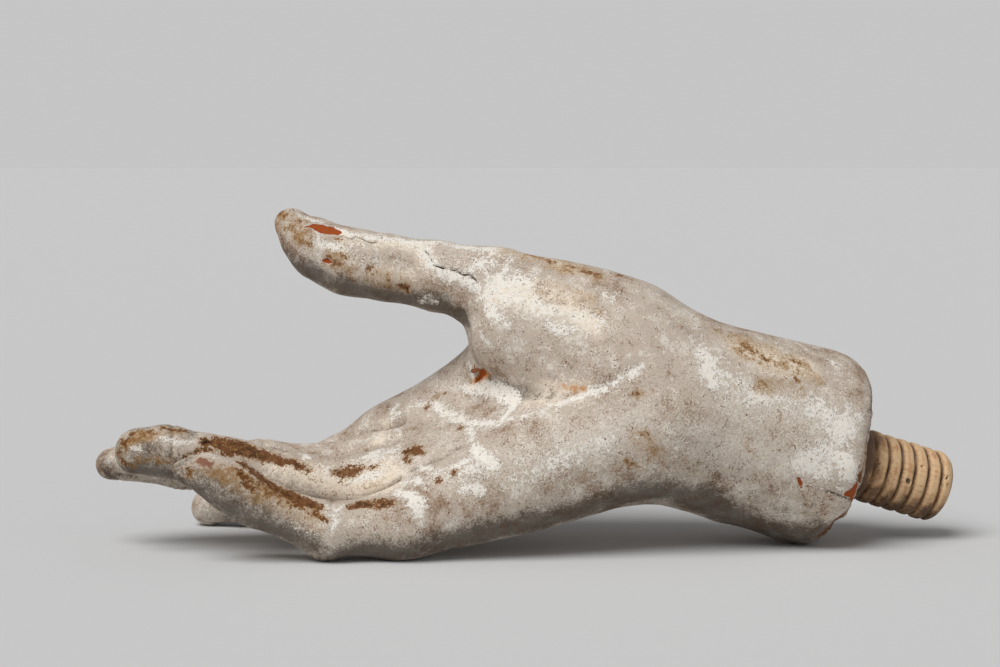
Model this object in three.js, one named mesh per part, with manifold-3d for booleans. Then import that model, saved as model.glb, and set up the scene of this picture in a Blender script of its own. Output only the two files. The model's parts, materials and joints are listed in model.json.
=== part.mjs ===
// Display mannequin hand: a right hand carved in pegged sections, lying palm up on a table,
// with a threaded wooden stud in its wrist. Millimetres, +Z up. The fingers point along -X,
// the stud along +X, and the thumb side lies along +Y.

import * as THREE from 'three';
import { edgeTable, triTable } from 'three/addons/objects/MarchingCubes.js';
import { mergeVertices } from 'three/addons/utils/BufferGeometryUtils.js';
import loadManifold from 'manifold-3d';

const solids = await loadManifold();
solids.setup();
const { Manifold, Mesh: ManifoldMesh } = solids;

// Fits between pieces
const GLUE_GAP = 0.3;
const FINGER_GAP = 0.8;
const REST_FLAT = 0.4;

// Forearm stub: an oval section that grows from the wrist to its rounded end
const WRIST = [57, -5, 45.4];
const FOREARM_LENGTH = 60;
const FOREARM_HEADING = 168.5;
const FOREARM_SLOPE = -17.8;
const WRIST_HEIGHT = 58.2;
const WRIST_DEPTH = 55;
const END_HEIGHT = 66;
const END_DEPTH = 58;
const END_ROUNDING = 10;

// Fingers: knuckle centre, then the length, heading, slope and end radius of each phalanx.
// A heading turns towards the thumb side from -X, and a slope rises from level, in degrees.
// The little finger's last phalanx curves, so it takes three steps.
const FINGERS = {
  little: {
    knuckle: [-30, -28.5, 10.4],
    radius: 10.5,
    phalanges: [
      { length: 25, heading: -7, slope: -3, radius: 9 },
      { length: 25.5, heading: -6, slope: 23.3, radius: 8 },
      { length: 7.7, heading: -7, slope: 37, radius: 8.4 },
      { length: 9, heading: -7, slope: 26.5, radius: 6.4 },
      { length: 7, heading: -7, slope: 8, radius: 4.2 },
    ],
  },
  ring: {
    knuckle: [-40, -10, 18.5],
    radius: 11,
    phalanges: [
      { length: 32.5, heading: -7, slope: 8.5, radius: 9 },
      { length: 35.5, heading: -7, slope: 14.4, radius: 8.3 },
      { length: 10.4, heading: -6, slope: 1, radius: 7.3 },
    ],
  },
  middle: {
    knuckle: [-44, 9, 22],
    radius: 10.8,
    phalanges: [
      { length: 35.5, heading: -8, slope: 2, radius: 9.1 },
      { length: 26, heading: -11, slope: 6.2, radius: 8.2 },
      { length: 22.5, heading: -12, slope: 4, radius: 6.6 },
    ],
  },
  index: {
    knuckle: [-38, 28, 30],
    radius: 11,
    phalanges: [
      { length: 34, heading: 8, slope: -24, radius: 9 },
      { length: 21, heading: 8, slope: -20, radius: 8 },
      { length: 12.8, heading: 8, slope: -14, radius: 6.9 },
    ],
  },
};

// Thumb: the same measures. Its belly hangs below the line of the nail, so it takes five steps
const THUMB = {
  knuckle: [-3, 5, 84],
  radius: 12,
  phalanges: [
    { length: 18, heading: 11, slope: 10.6, radius: 11.5 },
    { length: 18, heading: 11, slope: 8.6, radius: 10.9 },
    { length: 13, heading: 11, slope: 7.9, radius: 11.1 },
    { length: 11.5, heading: 11, slope: 22.5, radius: 10 },
    { length: 11.3, heading: 11, slope: 43.3, radius: 5.6 },
  ],
};

// Nails: a flat shaved on the back of each tip, which faces away from the palm
const NAIL_LENGTH = 10;
const NAIL_DEPTH = 0.9;
const PALM_ROLL = 22;
const THUMB_ROLL = 143;

// Flesh of the palm: where each metacarpal leaves the wrist, and its radius there
const METACARPALS = {
  little: { start: [45, -10, 40], radius: 23, swell: 2.2 },
  ring: { start: [40, 0, 45], radius: 20, swell: -2 },
  middle: { start: [40, 3, 48], radius: 20, swell: -2.5 },
  index: { start: [40, 8, 50], radius: 18, swell: 0 },
};
const THENAR = { start: [38, 2, 62], radius: 26, swell: 1.5 };
const THENAR_BELLY = { start: [40, -6, 60], startRadius: 18, end: [4, -3, 68], endRadius: 14 };
const WEB = { start: [12, 14, 64], startRadius: 14, end: [-28, 27, 35], endRadius: 10 };

// How softly the forms run into each other
const PALM_BLEND = 12;
const THUMB_BLEND = 6;
const ROOT_BLEND = 6;
const JOINT_BLEND = 3;
const PHALANX_WAIST = 0.5;

// Where the sections are glued: the knuckle line across the palm, and the thumb's root
const KNUCKLE_LINE_X = -31;
const THUMB_ROOT = 14;

// Dowels in the glued joints, half in each piece
const FINGER_PEG = { diameter: 6, length: 26 };
const THUMB_PEG = { diameter: 8, length: 34 };
const PEG_CHAMFER = 0.8;

// Iron brad that pins the thumb's dowel, driven in through the web
const BRAD = { diameter: 2.4, head: 4.6, headDepth: 1, bite: 4, heading: -99, slope: -77 };

// Threaded wooden stud, with a right-hand thread of broad rounded crests and narrow grooves
const STUD_DIAMETER = 24;
const STUD_PITCH = 4.8;
const STUD_THREAD_DEPTH = 1.5;
const STUD_CREST_ROUNDING = 0.3;
const STUD_OUTSIDE = 37;
const STUD_INSIDE = 23;
const STUD_THREAD_START = 3.15;
const STUD_END_ROUNDING = 4.5;

// Fineness of the carved surfaces
const PALM_CELL = 5;
const DIGIT_CELL = 3.7;
const SMOOTHING_ROUNDS = 4;
const THREAD_STEPS = 20;
const PEG_STEPS = 12;

// Directions and chains of bones

function heading(degreesAcross, degreesUp) {
  const across = THREE.MathUtils.degToRad(degreesAcross);
  const up = THREE.MathUtils.degToRad(degreesUp);
  return new THREE.Vector3(
    -Math.cos(up) * Math.cos(across),
    Math.cos(up) * Math.sin(across),
    Math.sin(up),
  );
}

const UP_Y = new THREE.Vector3(0, 1, 0);
const UP_Z = new THREE.Vector3(0, 0, 1);

function turnFrom(direction, newDirection) {
  return new THREE.Quaternion().setFromUnitVectors(direction, newDirection);
}

function point([x, y, z]) {
  return new THREE.Vector3(x, y, z);
}

function along(start, direction, distance) {
  return start.clone().addScaledVector(direction, distance);
}

// The joints of one digit, from its knuckle to its tip, each with a radius
function jointsOf(digit) {
  const joints = [{ at: point(digit.knuckle), radius: digit.radius }];
  for (const phalanx of digit.phalanges) {
    const previous = joints[joints.length - 1];
    const direction = heading(phalanx.heading, phalanx.slope);
    joints.push({ at: along(previous.at, direction, phalanx.length), radius: phalanx.radius });
  }
  return joints;
}

// Fields: functions of x, y, z that are negative inside the form and about a distance outside it

function bone(start, end, startRadius, endRadius, swell = 0) {
  const axis = end.clone().sub(start);
  const lengthSquared = axis.lengthSq();
  return (x, y, z) => {
    const dx = x - start.x;
    const dy = y - start.y;
    const dz = z - start.z;
    const share = THREE.MathUtils.clamp((dx * axis.x + dy * axis.y + dz * axis.z) / lengthSquared, 0, 1);
    const radius = THREE.MathUtils.lerp(startRadius, endRadius, share) + swell * 4 * share * (1 - share);
    return Math.hypot(dx - share * axis.x, dy - share * axis.y, dz - share * axis.z) - radius;
  };
}

function softMin(a, b, blend) {
  const near = Math.max(blend - Math.abs(a - b), 0);
  return Math.min(a, b) - (near * near) / (4 * blend);
}

function blended(fields, blend) {
  return (x, y, z) => fields.reduce((sum, field) => softMin(sum, field(x, y, z), blend), Infinity);
}

function nearest(fields) {
  return (x, y, z) => fields.reduce((least, field) => Math.min(least, field(x, y, z)), Infinity);
}

function digitField(digit) {
  const joints = jointsOf(digit);
  const bones = [];
  for (let i = 1; i < joints.length; i += 1) {
    const [from, to] = [joints[i - 1], joints[i]];
    bones.push(bone(from.at, to.at, from.radius, to.radius, -PHALANX_WAIST));
  }
  return blended(bones, JOINT_BLEND);
}

const wrist = point(WRIST);
const forearmAxis = heading(FOREARM_HEADING, FOREARM_SLOPE);
const forearmSide = UP_Z.clone().cross(forearmAxis).normalize();
const forearmUp = forearmAxis.clone().cross(forearmSide);
const faceCentre = along(wrist, forearmAxis, FOREARM_LENGTH);

function forearmField(x, y, z) {
  const from = new THREE.Vector3(x, y, z).sub(wrist);
  const reach = from.dot(forearmAxis);
  const share = THREE.MathUtils.clamp(reach / FOREARM_LENGTH, 0, 1);
  const height = THREE.MathUtils.lerp(WRIST_HEIGHT, END_HEIGHT, share) / 2;
  const depth = THREE.MathUtils.lerp(WRIST_DEPTH, END_DEPTH, share) / 2;
  const dome = Math.min(reach, 0) / depth;
  const oval = Math.hypot(from.dot(forearmUp) / height, from.dot(forearmSide) / depth, dome) - 1;
  return -softMin(-oval * depth, FOREARM_LENGTH - reach, END_ROUNDING);
}

function palmField() {
  const flesh = [forearmField];
  for (const [name, metacarpal] of Object.entries(METACARPALS)) {
    const finger = FINGERS[name];
    const { start, radius, swell } = metacarpal;
    flesh.push(bone(point(start), point(finger.knuckle), radius, finger.radius, swell));
  }
  flesh.push(bone(point(THENAR.start), point(THUMB.knuckle), THENAR.radius, THUMB.radius, THENAR.swell));
  const belly = THENAR_BELLY;
  flesh.push(bone(point(belly.start), point(belly.end), belly.startRadius, belly.endRadius));
  flesh.push(bone(point(WEB.start), point(WEB.end), WEB.startRadius, WEB.endRadius));
  return blended(flesh, PALM_BLEND);
}

const palm = palmField();
const thumb = digitField(THUMB);
const fingers = {};
for (const [name, digit] of Object.entries(FINGERS)) fingers[name] = digitField(digit);
const anyFinger = nearest(Object.values(fingers));

function palmWithRoots(x, y, z) {
  const hand = softMin(palm(x, y, z), anyFinger(x, y, z), ROOT_BLEND);
  return softMin(hand, thumb(x, y, z), THUMB_BLEND);
}

// One finger with its share of the palm, kept clear of the fingers beside it
function fingerWithRoot(name) {
  const own = fingers[name];
  const others = nearest(Object.values(fingers).filter((other) => other !== own));
  return (x, y, z) => {
    const distance = own(x, y, z);
    const boundary = (distance - others(x, y, z) + FINGER_GAP) / 2;
    return Math.max(softMin(palm(x, y, z), distance, ROOT_BLEND), boundary);
  };
}

function thumbWithRoot(x, y, z) {
  return softMin(palm(x, y, z), thumb(x, y, z), THUMB_BLEND);
}

// Surfaces: a field is sampled on a grid, its zero surface is meshed, and the mesh is evened out

function gradient(field, x, y, z) {
  const step = 0.05;
  return new THREE.Vector3(
    field(x + step, y, z) - field(x - step, y, z),
    field(x, y + step, z) - field(x, y - step, z),
    field(x, y, z + step) - field(x, y, z - step),
  ).divideScalar(2 * step);
}

function pullOnto(field, at, reach) {
  for (let round = 0; round < 3; round += 1) {
    const slope = gradient(field, at.x, at.y, at.z);
    const distance = field(at.x, at.y, at.z);
    const move = distance / Math.max(slope.lengthSq(), 0.25);
    at.addScaledVector(slope, -THREE.MathUtils.clamp(move, -reach, reach));
  }
}

function sampleGrid(field, box, cell) {
  const counts = box.getSize(new THREE.Vector3()).divideScalar(cell).ceil().addScalar(1);
  const { x: nx, y: ny, z: nz } = counts;
  const values = new Float64Array(nx * ny * nz);
  const least = 0.06 * cell;
  for (let k = 0; k < nz; k += 1) {
    for (let j = 0; j < ny; j += 1) {
      for (let i = 0; i < nx; i += 1) {
        const value = field(box.min.x + i * cell, box.min.y + j * cell, box.min.z + k * cell);
        values[i + nx * (j + ny * k)] = Math.abs(value) < least ? least * (value < 0 ? -1 : 1) : value;
      }
    }
  }
  return { values, nx, ny, nz };
}

// A cell's corners and edges, in the order that the marching cubes tables use
const FLOOR = [[0, 0, 0], [1, 0, 0], [1, 1, 0], [0, 1, 0]];
const CORNERS = [...FLOOR, ...FLOOR.map(([x, y]) => [x, y, 1])];
const RING = [[0, 1], [1, 2], [3, 2], [0, 3]];
const UPRIGHTS = [[0, 4], [1, 5], [2, 6], [3, 7]];
const EDGES = [...RING, ...RING.map(([from, to]) => [from + 4, to + 4]), ...UPRIGHTS];

function meshGrid({ values, nx, ny, nz }, box, cell) {
  const points = [];
  const triangles = [];
  const pointOfEdge = new Map();
  const indexOf = (i, j, k) => i + nx * (j + ny * k);
  const edgePoint = (i, j, k, edge) => {
    const [low, high] = EDGES[edge].map((corner) => CORNERS[corner]);
    const lowIndex = indexOf(i + low[0], j + low[1], k + low[2]);
    const highIndex = indexOf(i + high[0], j + high[1], k + high[2]);
    const key = lowIndex * values.length + highIndex;
    if (!pointOfEdge.has(key)) {
      const share = values[lowIndex] / (values[lowIndex] - values[highIndex]);
      const offset = low.map((start, axis) => start + share * (high[axis] - start));
      pointOfEdge.set(key, points.length);
      const at = new THREE.Vector3(i + offset[0], j + offset[1], k + offset[2]);
      points.push(at.multiplyScalar(cell).add(box.min));
    }
    return pointOfEdge.get(key);
  };
  for (let k = 0; k < nz - 1; k += 1) {
    for (let j = 0; j < ny - 1; j += 1) {
      for (let i = 0; i < nx - 1; i += 1) {
        const inside = CORNERS.map(([x, y, z]) => values[indexOf(i + x, j + y, k + z)] < 0);
        const code = inside.reduce((sum, within, corner) => sum + (within ? 2 ** corner : 0), 0);
        if (edgeTable[code] === 0) continue;
        for (let t = code * 16; triTable[t] !== -1; t += 3) {
          triangles.push([2, 1, 0].map((corner) => edgePoint(i, j, k, triTable[t + corner])));
        }
      }
    }
  }
  return { points, triangles };
}

function evenOut(field, points, triangles, cell) {
  const neighbours = points.map(() => new Set());
  for (const [a, b, c] of triangles) {
    neighbours[a].add(b).add(c);
    neighbours[b].add(a).add(c);
    neighbours[c].add(a).add(b);
  }
  for (let round = 0; round < SMOOTHING_ROUNDS; round += 1) {
    const moved = points.map((at, index) => {
      const middle = new THREE.Vector3();
      for (const other of neighbours[index]) middle.add(points[other]);
      return middle.divideScalar(neighbours[index].size).lerp(at, 0.5);
    });
    moved.forEach((at, index) => {
      pullOnto(field, at, cell / 2);
      points[index].copy(at);
    });
  }
}

// A form that runs out of its box is closed off flat, one cell inside the box
function carve(form, box, cell) {
  const inner = box.clone().expandByScalar(-cell);
  const middle = inner.getCenter(new THREE.Vector3());
  const half = inner.getSize(new THREE.Vector3()).divideScalar(2);
  const field = (x, y, z) => Math.max(
    form(x, y, z),
    Math.abs(x - middle.x) - half.x,
    Math.abs(y - middle.y) - half.y,
    Math.abs(z - middle.z) - half.z,
  );
  const { points, triangles } = meshGrid(sampleGrid(field, box, cell), box, cell);
  evenOut(field, points, triangles, cell);
  const corners = new Float32Array(points.length * 3);
  points.forEach((at, index) => at.toArray(corners, index * 3));
  return new Manifold(new ManifoldMesh({
    numProp: 3,
    vertProperties: corners,
    triVerts: new Uint32Array(triangles.flat()),
  }));
}

// Plain solids

function solidOf(geometry) {
  const bare = geometry.clone();
  bare.deleteAttribute('normal');
  bare.deleteAttribute('uv');
  const merged = mergeVertices(bare, 1e-4);
  return new Manifold(new ManifoldMesh({
    numProp: 3,
    vertProperties: new Float32Array(merged.attributes.position.array),
    triVerts: new Uint32Array(merged.index.array),
  }));
}

// A turned solid whose axis runs from a start point along a direction
function turned(profile, start, direction, steps) {
  const geometry = new THREE.LatheGeometry(profile.map(([r, z]) => new THREE.Vector2(r, z)), steps);
  geometry.applyQuaternion(turnFrom(UP_Y, direction));
  geometry.translate(start.x, start.y, start.z);
  return solidOf(geometry);
}

// Everything on the far side of a plane, as a block large enough for the hand
function beyond(at, direction) {
  const reach = 600;
  const geometry = new THREE.BoxGeometry(reach, reach, reach);
  geometry.translate(0, reach / 2, 0);
  geometry.applyQuaternion(turnFrom(UP_Y, direction));
  geometry.translate(at.x, at.y, at.z);
  return solidOf(geometry);
}

function boxAround(joints, margin) {
  const box = new THREE.Box3();
  for (const joint of joints) {
    const ball = new THREE.Sphere(joint.at, joint.radius + margin);
    box.union(ball.getBoundingBox(new THREE.Box3()));
  }
  return box;
}

// The block that shaves a digit's nail, along the back of its last two joints and square at the cuticle
function nailCut(digit) {
  const [before, tip] = jointsOf(digit).slice(-2);
  const bone = tip.at.clone().sub(before.at);
  const lean = Math.asin((before.radius - tip.radius) / bone.length());
  bone.normalize();
  const roll = THREE.MathUtils.degToRad(digit === THUMB ? THUMB_ROLL : PALM_ROLL);
  const back = new THREE.Vector3(0, Math.sin(roll), -Math.cos(roll));
  back.addScaledVector(bone, -back.dot(bone)).normalize();
  const across = back.clone().cross(bone);
  const out = back.clone().multiplyScalar(Math.cos(lean)).addScaledVector(bone, Math.sin(lean));
  const lengthwise = across.clone().cross(out);
  const size = 2 * NAIL_LENGTH;
  const geometry = new THREE.BoxGeometry(size, 2 * size, size);
  geometry.translate(size / 2, 0, size / 2);
  geometry.applyMatrix4(new THREE.Matrix4().makeBasis(lengthwise, across, out));
  const start = along(tip.at, lengthwise, tip.radius - NAIL_LENGTH);
  start.addScaledVector(out, tip.radius - NAIL_DEPTH);
  geometry.translate(start.x, start.y, start.z);
  return solidOf(geometry);
}

// Dowels

function pegSolid(peg, centre, direction, clearance) {
  const radius = peg.diameter / 2 + clearance;
  const half = peg.length / 2 + clearance;
  const profile = [
    [0, -half],
    [radius - PEG_CHAMFER, -half],
    [radius, PEG_CHAMFER - half],
    [radius, half - PEG_CHAMFER],
    [radius - PEG_CHAMFER, half],
    [0, half],
  ];
  return turned(profile, centre, direction, PEG_STEPS);
}

// A finger's dowel crosses the knuckle line where the metacarpal does, and leans halfway
// between the metacarpal and the first phalanx
function fingerPegPlace(name) {
  const start = point(METACARPALS[name].start);
  const knuckle = point(FINGERS[name].knuckle);
  const metacarpal = knuckle.clone().sub(start);
  const centre = along(start, metacarpal, (KNUCKLE_LINE_X - start.x) / metacarpal.x);
  const first = FINGERS[name].phalanges[0];
  const direction = metacarpal.normalize().add(heading(first.heading, first.slope)).normalize();
  return { centre, direction };
}

const thumbAxis = heading(THUMB.phalanges[0].heading, THUMB.phalanges[0].slope);
const thumbSeat = along(point(THUMB.knuckle), thumbAxis, THUMB_ROOT);

// The brad starts in the thumb's dowel and runs out to the surface of the web
function bradPlace() {
  const dowelMiddle = along(thumbSeat, thumbAxis, -THUMB_PEG.length / 4);
  const out = heading(BRAD.heading, BRAD.slope);
  const tip = along(dowelMiddle, out, THUMB_PEG.diameter / 2 - BRAD.bite);
  let length = BRAD.bite;
  while (palmWithRoots(...along(tip, out, length).toArray()) < 0) length += 0.25;
  return { tip, out, length };
}

function bradSolid({ tip, out, length }, clearance) {
  const radius = BRAD.diameter / 2 + clearance;
  const head = BRAD.head / 2 + clearance;
  const neck = length - BRAD.headDepth - clearance;
  const profile = [
    [0, -clearance],
    [radius * 0.4, -clearance],
    [radius, BRAD.diameter],
    [radius, neck],
    [head, neck],
    [head, length + clearance],
    [0, length + clearance],
  ];
  return turned(profile, tip, out, PEG_STEPS);
}

// Threaded stud

function helicalRod(turns) {
  const major = STUD_DIAMETER / 2;
  const shoulder = major - STUD_CREST_ROUNDING;
  const profile = [[0, major - STUD_THREAD_DEPTH], [0.2, shoulder], [0.5, major], [0.8, shoulder]];
  const steps = turns * profile.length;
  const corners = [];
  const indices = new Map();
  const corner = (step, turn) => {
    if (turn === THREAD_STEPS) return corner(step + profile.length, 0);
    const key = step * THREAD_STEPS + turn;
    if (!indices.has(key)) {
      const [share, radius] = profile[step % profile.length];
      const angle = (2 * Math.PI * turn) / THREAD_STEPS;
      const rise = STUD_PITCH * (Math.floor(step / profile.length) + share + turn / THREAD_STEPS);
      indices.set(key, corners.length / 3);
      corners.push(radius * Math.cos(angle), radius * Math.sin(angle), rise);
    }
    return indices.get(key);
  };
  const triangles = [];
  for (let step = 0; step < steps; step += 1) {
    for (let turn = 0; turn < THREAD_STEPS; turn += 1) {
      const [a, b] = [corner(step, turn), corner(step, turn + 1)];
      const [c, d] = [corner(step + 1, turn + 1), corner(step + 1, turn)];
      triangles.push(a, b, c, a, c, d);
    }
  }
  const closeEnd = (firstStep, rise, outward) => {
    const middle = corners.push(0, 0, rise) / 3 - 1;
    const rim = [];
    for (let turn = 0; turn < THREAD_STEPS; turn += 1) rim.push(corner(firstStep, turn));
    for (let step = profile.length; step > 0; step -= 1) rim.push(corner(firstStep + step, 0));
    rim.forEach((from, index) => {
      const to = rim[(index + 1) % rim.length];
      triangles.push(...(outward ? [from, to, middle] : [to, from, middle]));
    });
  };
  closeEnd(0, STUD_PITCH / 2, false);
  closeEnd(steps, STUD_PITCH * (turns + 0.5), true);
  const geometry = new THREE.BufferGeometry();
  geometry.setAttribute('position', new THREE.Float32BufferAttribute(corners, 3));
  geometry.setIndex(triangles);
  return geometry;
}

function studSolid() {
  const length = STUD_INSIDE + STUD_OUTSIDE;
  const turns = Math.ceil(length / STUD_PITCH) + 3;
  const rod = helicalRod(turns);
  rod.translate(0, 0, STUD_THREAD_START - 2 * STUD_PITCH);
  rod.applyQuaternion(turnFrom(UP_Z, forearmAxis));
  const innerEnd = along(faceCentre, forearmAxis, -STUD_INSIDE);
  rod.translate(innerEnd.x, innerEnd.y, innerEnd.z);
  const reach = STUD_DIAMETER / 2;
  const envelope = [[0, 0], [reach + 1, 0], [reach + 1, length - STUD_END_ROUNDING]];
  for (let step = 0; step <= 4; step += 1) {
    const angle = (Math.PI / 2) * (step / 4);
    const inset = STUD_END_ROUNDING * (1 - Math.cos(angle));
    envelope.push([reach - inset, length - STUD_END_ROUNDING * (1 - Math.sin(angle))]);
  }
  envelope.push([0, length]);
  return solidOf(rod).intersect(turned(envelope, innerEnd, forearmAxis, THREAD_STEPS));
}

function studBore() {
  const radius = STUD_DIAMETER / 2 + GLUE_GAP;
  const start = along(faceCentre, forearmAxis, -STUD_INSIDE - GLUE_GAP);
  const length = STUD_INSIDE + GLUE_GAP + END_ROUNDING;
  return turned([[0, 0], [radius, 0], [radius, length], [0, length]], start, forearmAxis, THREAD_STEPS);
}

// Sections of the hand

const fingerward = new THREE.Vector3(-1, 0, 0);
const knuckleLine = new THREE.Vector3(KNUCKLE_LINE_X, 0, 0);
const thumbReach = THUMB.radius + THUMB_BLEND;
const thumbBox = boxAround(jointsOf(THUMB), 2 * DIGIT_CELL);

function thumbRegion(clearance) {
  const room = thumbBox.getSize(new THREE.Vector3());
  const geometry = new THREE.BoxGeometry(room.x, room.y + 2 * thumbReach, 2 * (thumbReach + clearance));
  geometry.translate(-room.x / 2, 0, 0);
  geometry.applyQuaternion(turnFrom(fingerward, thumbAxis));
  const start = along(thumbSeat, thumbAxis, -clearance);
  geometry.translate(start.x, start.y, start.z);
  return solidOf(geometry);
}

function palmSolid() {
  const knuckles = Object.values(FINGERS).map((digit) => jointsOf(digit)[0]);
  const thumbRoot = jointsOf(THUMB).slice(0, 2);
  const heel = { at: point(THENAR.start), radius: THENAR.radius };
  const end = { at: faceCentre, radius: END_HEIGHT / 2 };
  const box = boxAround([...knuckles, ...thumbRoot, heel, end], 2 * PALM_CELL);
  const hand = carve(palmWithRoots, box, PALM_CELL);
  return hand.subtract(beyond(knuckleLine, fingerward)).subtract(thumbRegion(GLUE_GAP));
}

function thumbSolid() {
  return carve(thumbWithRoot, thumbBox, DIGIT_CELL).intersect(thumbRegion(0)).subtract(nailCut(THUMB));
}

function fingerSolid(name) {
  const digit = FINGERS[name];
  const seat = along(knuckleLine, fingerward, GLUE_GAP);
  const box = boxAround(jointsOf(digit), 3 * DIGIT_CELL);
  box.max.x = Math.max(box.max.x, KNUCKLE_LINE_X + 3 * DIGIT_CELL);
  const whole = carve(fingerWithRoot(name), box, DIGIT_CELL);
  return whole.intersect(beyond(seat, fingerward)).subtract(nailCut(digit));
}

// Assembly

const GESSO = { color: 0xaa9b8c, roughness: 0.85, metalness: 0 };
const WOOD = { color: 0xc6a076, roughness: 0.7, metalness: 0 };
const IRON = { color: 0x7a4a2c, roughness: 0.8, metalness: 0.6 };

function meshOf(name, solid, look) {
  const { vertProperties, triVerts } = solid.getMesh();
  const geometry = new THREE.BufferGeometry();
  geometry.setAttribute('position', new THREE.Float32BufferAttribute(vertProperties, 3));
  geometry.setIndex(new THREE.Uint32BufferAttribute(triVerts, 1));
  geometry.computeVertexNormals();
  const mesh = new THREE.Mesh(geometry, new THREE.MeshStandardMaterial(look));
  mesh.name = name;
  return mesh;
}

function assemble() {
  const sections = { palm_block: palmSolid(), thumb: thumbSolid() };
  const woodwork = {};
  for (const name of Object.keys(FINGERS)) {
    const { centre, direction } = fingerPegPlace(name);
    const hole = pegSolid(FINGER_PEG, centre, direction, GLUE_GAP);
    sections[`${name}_finger`] = fingerSolid(name).subtract(hole);
    sections.palm_block = sections.palm_block.subtract(hole);
    woodwork[`${name}_peg`] = pegSolid(FINGER_PEG, centre, direction, 0);
  }
  const brad = bradPlace();
  const bradHole = bradSolid(brad, GLUE_GAP);
  const thumbHole = pegSolid(THUMB_PEG, thumbSeat, thumbAxis, GLUE_GAP);
  sections.thumb = sections.thumb.subtract(thumbHole);
  sections.palm_block = sections.palm_block.subtract(thumbHole).subtract(bradHole).subtract(studBore());
  woodwork.thumb_peg = pegSolid(THUMB_PEG, thumbSeat, thumbAxis, 0).subtract(bradHole);
  woodwork.wrist_screw = studSolid();

  const lowest = (name) => sections[name].boundingBox().min[2];
  const table = Math.max(lowest('palm_block'), lowest('little_finger'), lowest('index_finger')) + REST_FLAT;
  const below = beyond(new THREE.Vector3(0, 0, table), new THREE.Vector3(0, 0, -1));
  const hand = new THREE.Group();
  for (const [name, solid] of Object.entries(sections)) {
    hand.add(meshOf(name, solid.subtract(below), GESSO));
  }
  for (const [name, solid] of Object.entries(woodwork)) {
    hand.add(meshOf(name, solid, WOOD));
  }
  hand.add(meshOf('thumb_brad', bradSolid(brad, 0), IRON));

  const bounds = new THREE.Box3().setFromObject(hand);
  const middle = bounds.getCenter(new THREE.Vector3());
  hand.position.set(-middle.x, -middle.y, -bounds.min.z);
  return hand;
}

export default assemble();
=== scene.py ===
import json
import math

import bpy
import numpy as np
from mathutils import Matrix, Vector
from mathutils.bvhtree import BVHTree

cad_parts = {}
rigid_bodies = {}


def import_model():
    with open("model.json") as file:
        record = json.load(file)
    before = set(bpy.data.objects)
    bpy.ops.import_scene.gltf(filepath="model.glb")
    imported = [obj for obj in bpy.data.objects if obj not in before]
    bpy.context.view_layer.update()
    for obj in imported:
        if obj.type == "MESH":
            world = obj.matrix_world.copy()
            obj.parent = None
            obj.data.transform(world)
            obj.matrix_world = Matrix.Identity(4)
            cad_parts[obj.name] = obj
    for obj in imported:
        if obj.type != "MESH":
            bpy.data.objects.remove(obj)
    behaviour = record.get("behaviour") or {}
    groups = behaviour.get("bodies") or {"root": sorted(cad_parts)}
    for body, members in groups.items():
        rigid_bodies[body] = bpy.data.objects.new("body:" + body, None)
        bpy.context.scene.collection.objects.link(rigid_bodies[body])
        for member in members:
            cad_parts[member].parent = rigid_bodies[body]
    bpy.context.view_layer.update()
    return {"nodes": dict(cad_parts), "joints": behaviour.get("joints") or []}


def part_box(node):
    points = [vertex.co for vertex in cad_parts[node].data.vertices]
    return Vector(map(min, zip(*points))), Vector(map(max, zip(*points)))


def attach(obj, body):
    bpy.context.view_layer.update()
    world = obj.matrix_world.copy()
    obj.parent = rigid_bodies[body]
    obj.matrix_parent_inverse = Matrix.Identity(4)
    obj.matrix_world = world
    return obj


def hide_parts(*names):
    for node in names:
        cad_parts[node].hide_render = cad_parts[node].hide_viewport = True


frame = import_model()

bl_info = {
    "name": "Aged mannequin hand",
    "version": (1, 0, 0),
    "blender": (4, 5, 0),
    "location": "View3D > Sidebar > Mannequin hand",
    "description": "Dresses a carved display hand in worn gesso and paint, with a threaded wooden stud",
    "category": "Object",
}

MM = 0.001
EVERYWHERE = np.full(3, 1e4)

# Modelling: what is merged, in mm, which edges stay sharp, in degrees, and rounds of smoothing
MERGE_DISTANCE = 0.005
CUT_MERGE_DISTANCE = 0.001
SHARP_EDGE = 40
SHADED_EDGE = 50
SMOOTHING_ROUNDS = 40
# Slack in mm for telling a rod's side and end from the rest, and its crests from its flanks
EDGE_SLACK = 0.01
CREST_SLACK = 0.15

# How far apart, in mm, two parts of the hand can be and still get painted shade between them
GAP_START = 0.8
GAP_REACH = 9.0

# Pieces of the hand and the dowels and brad inside them, by their names in the frame
FINGERS = ("little", "ring", "middle", "index")
SECTIONS = ("palm_block", "thumb") + tuple(f"{name}_finger" for name in FINGERS)
PEGS = tuple(f"{name}_peg" for name in FINGERS + ("thumb",))
BRAD = "thumb_brad"
STUD = "wrist_screw"

# Digits as they were carved: the knuckle in mm before the hand was centred, its radius, then the
# length, heading, slope and end radius of each phalanx. In degrees, a heading turns to the thumb side
# and a slope rises
DIGITS = {
    "little": (
        (-30, -28.5, 10.4), 10.5,
        [(25, -7, -3, 9), (25.5, -6, 23.3, 8), (7.7, -7, 37, 8.4), (9, -7, 26.5, 6.4), (7, -7, 8, 4.2)],
    ),
    "ring": ((-40, -10, 18.5), 11, [(32.5, -7, 8.5, 9), (35.5, -7, 14.4, 8.3), (10.4, -6, 1, 7.3)]),
    "middle": ((-44, 9, 22), 10.8, [(35.5, -8, 2, 9.1), (26, -11, 6.2, 8.2), (22.5, -12, 4, 6.6)]),
    "index": ((-38, 28, 30), 11, [(34, 8, -24, 9), (21, 8, -20, 8), (12.8, 8, -14, 6.9)]),
    "thumb": (
        (-3, 5, 84), 12,
        [
            (18, 11, 10.6, 11.5), (18, 11, 8.6, 10.9), (13, 11, 7.9, 11.1), (11.5, 11, 22.5, 10),
            (11.3, 11, 43.3, 5.6),
        ],
    ),
}
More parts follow.
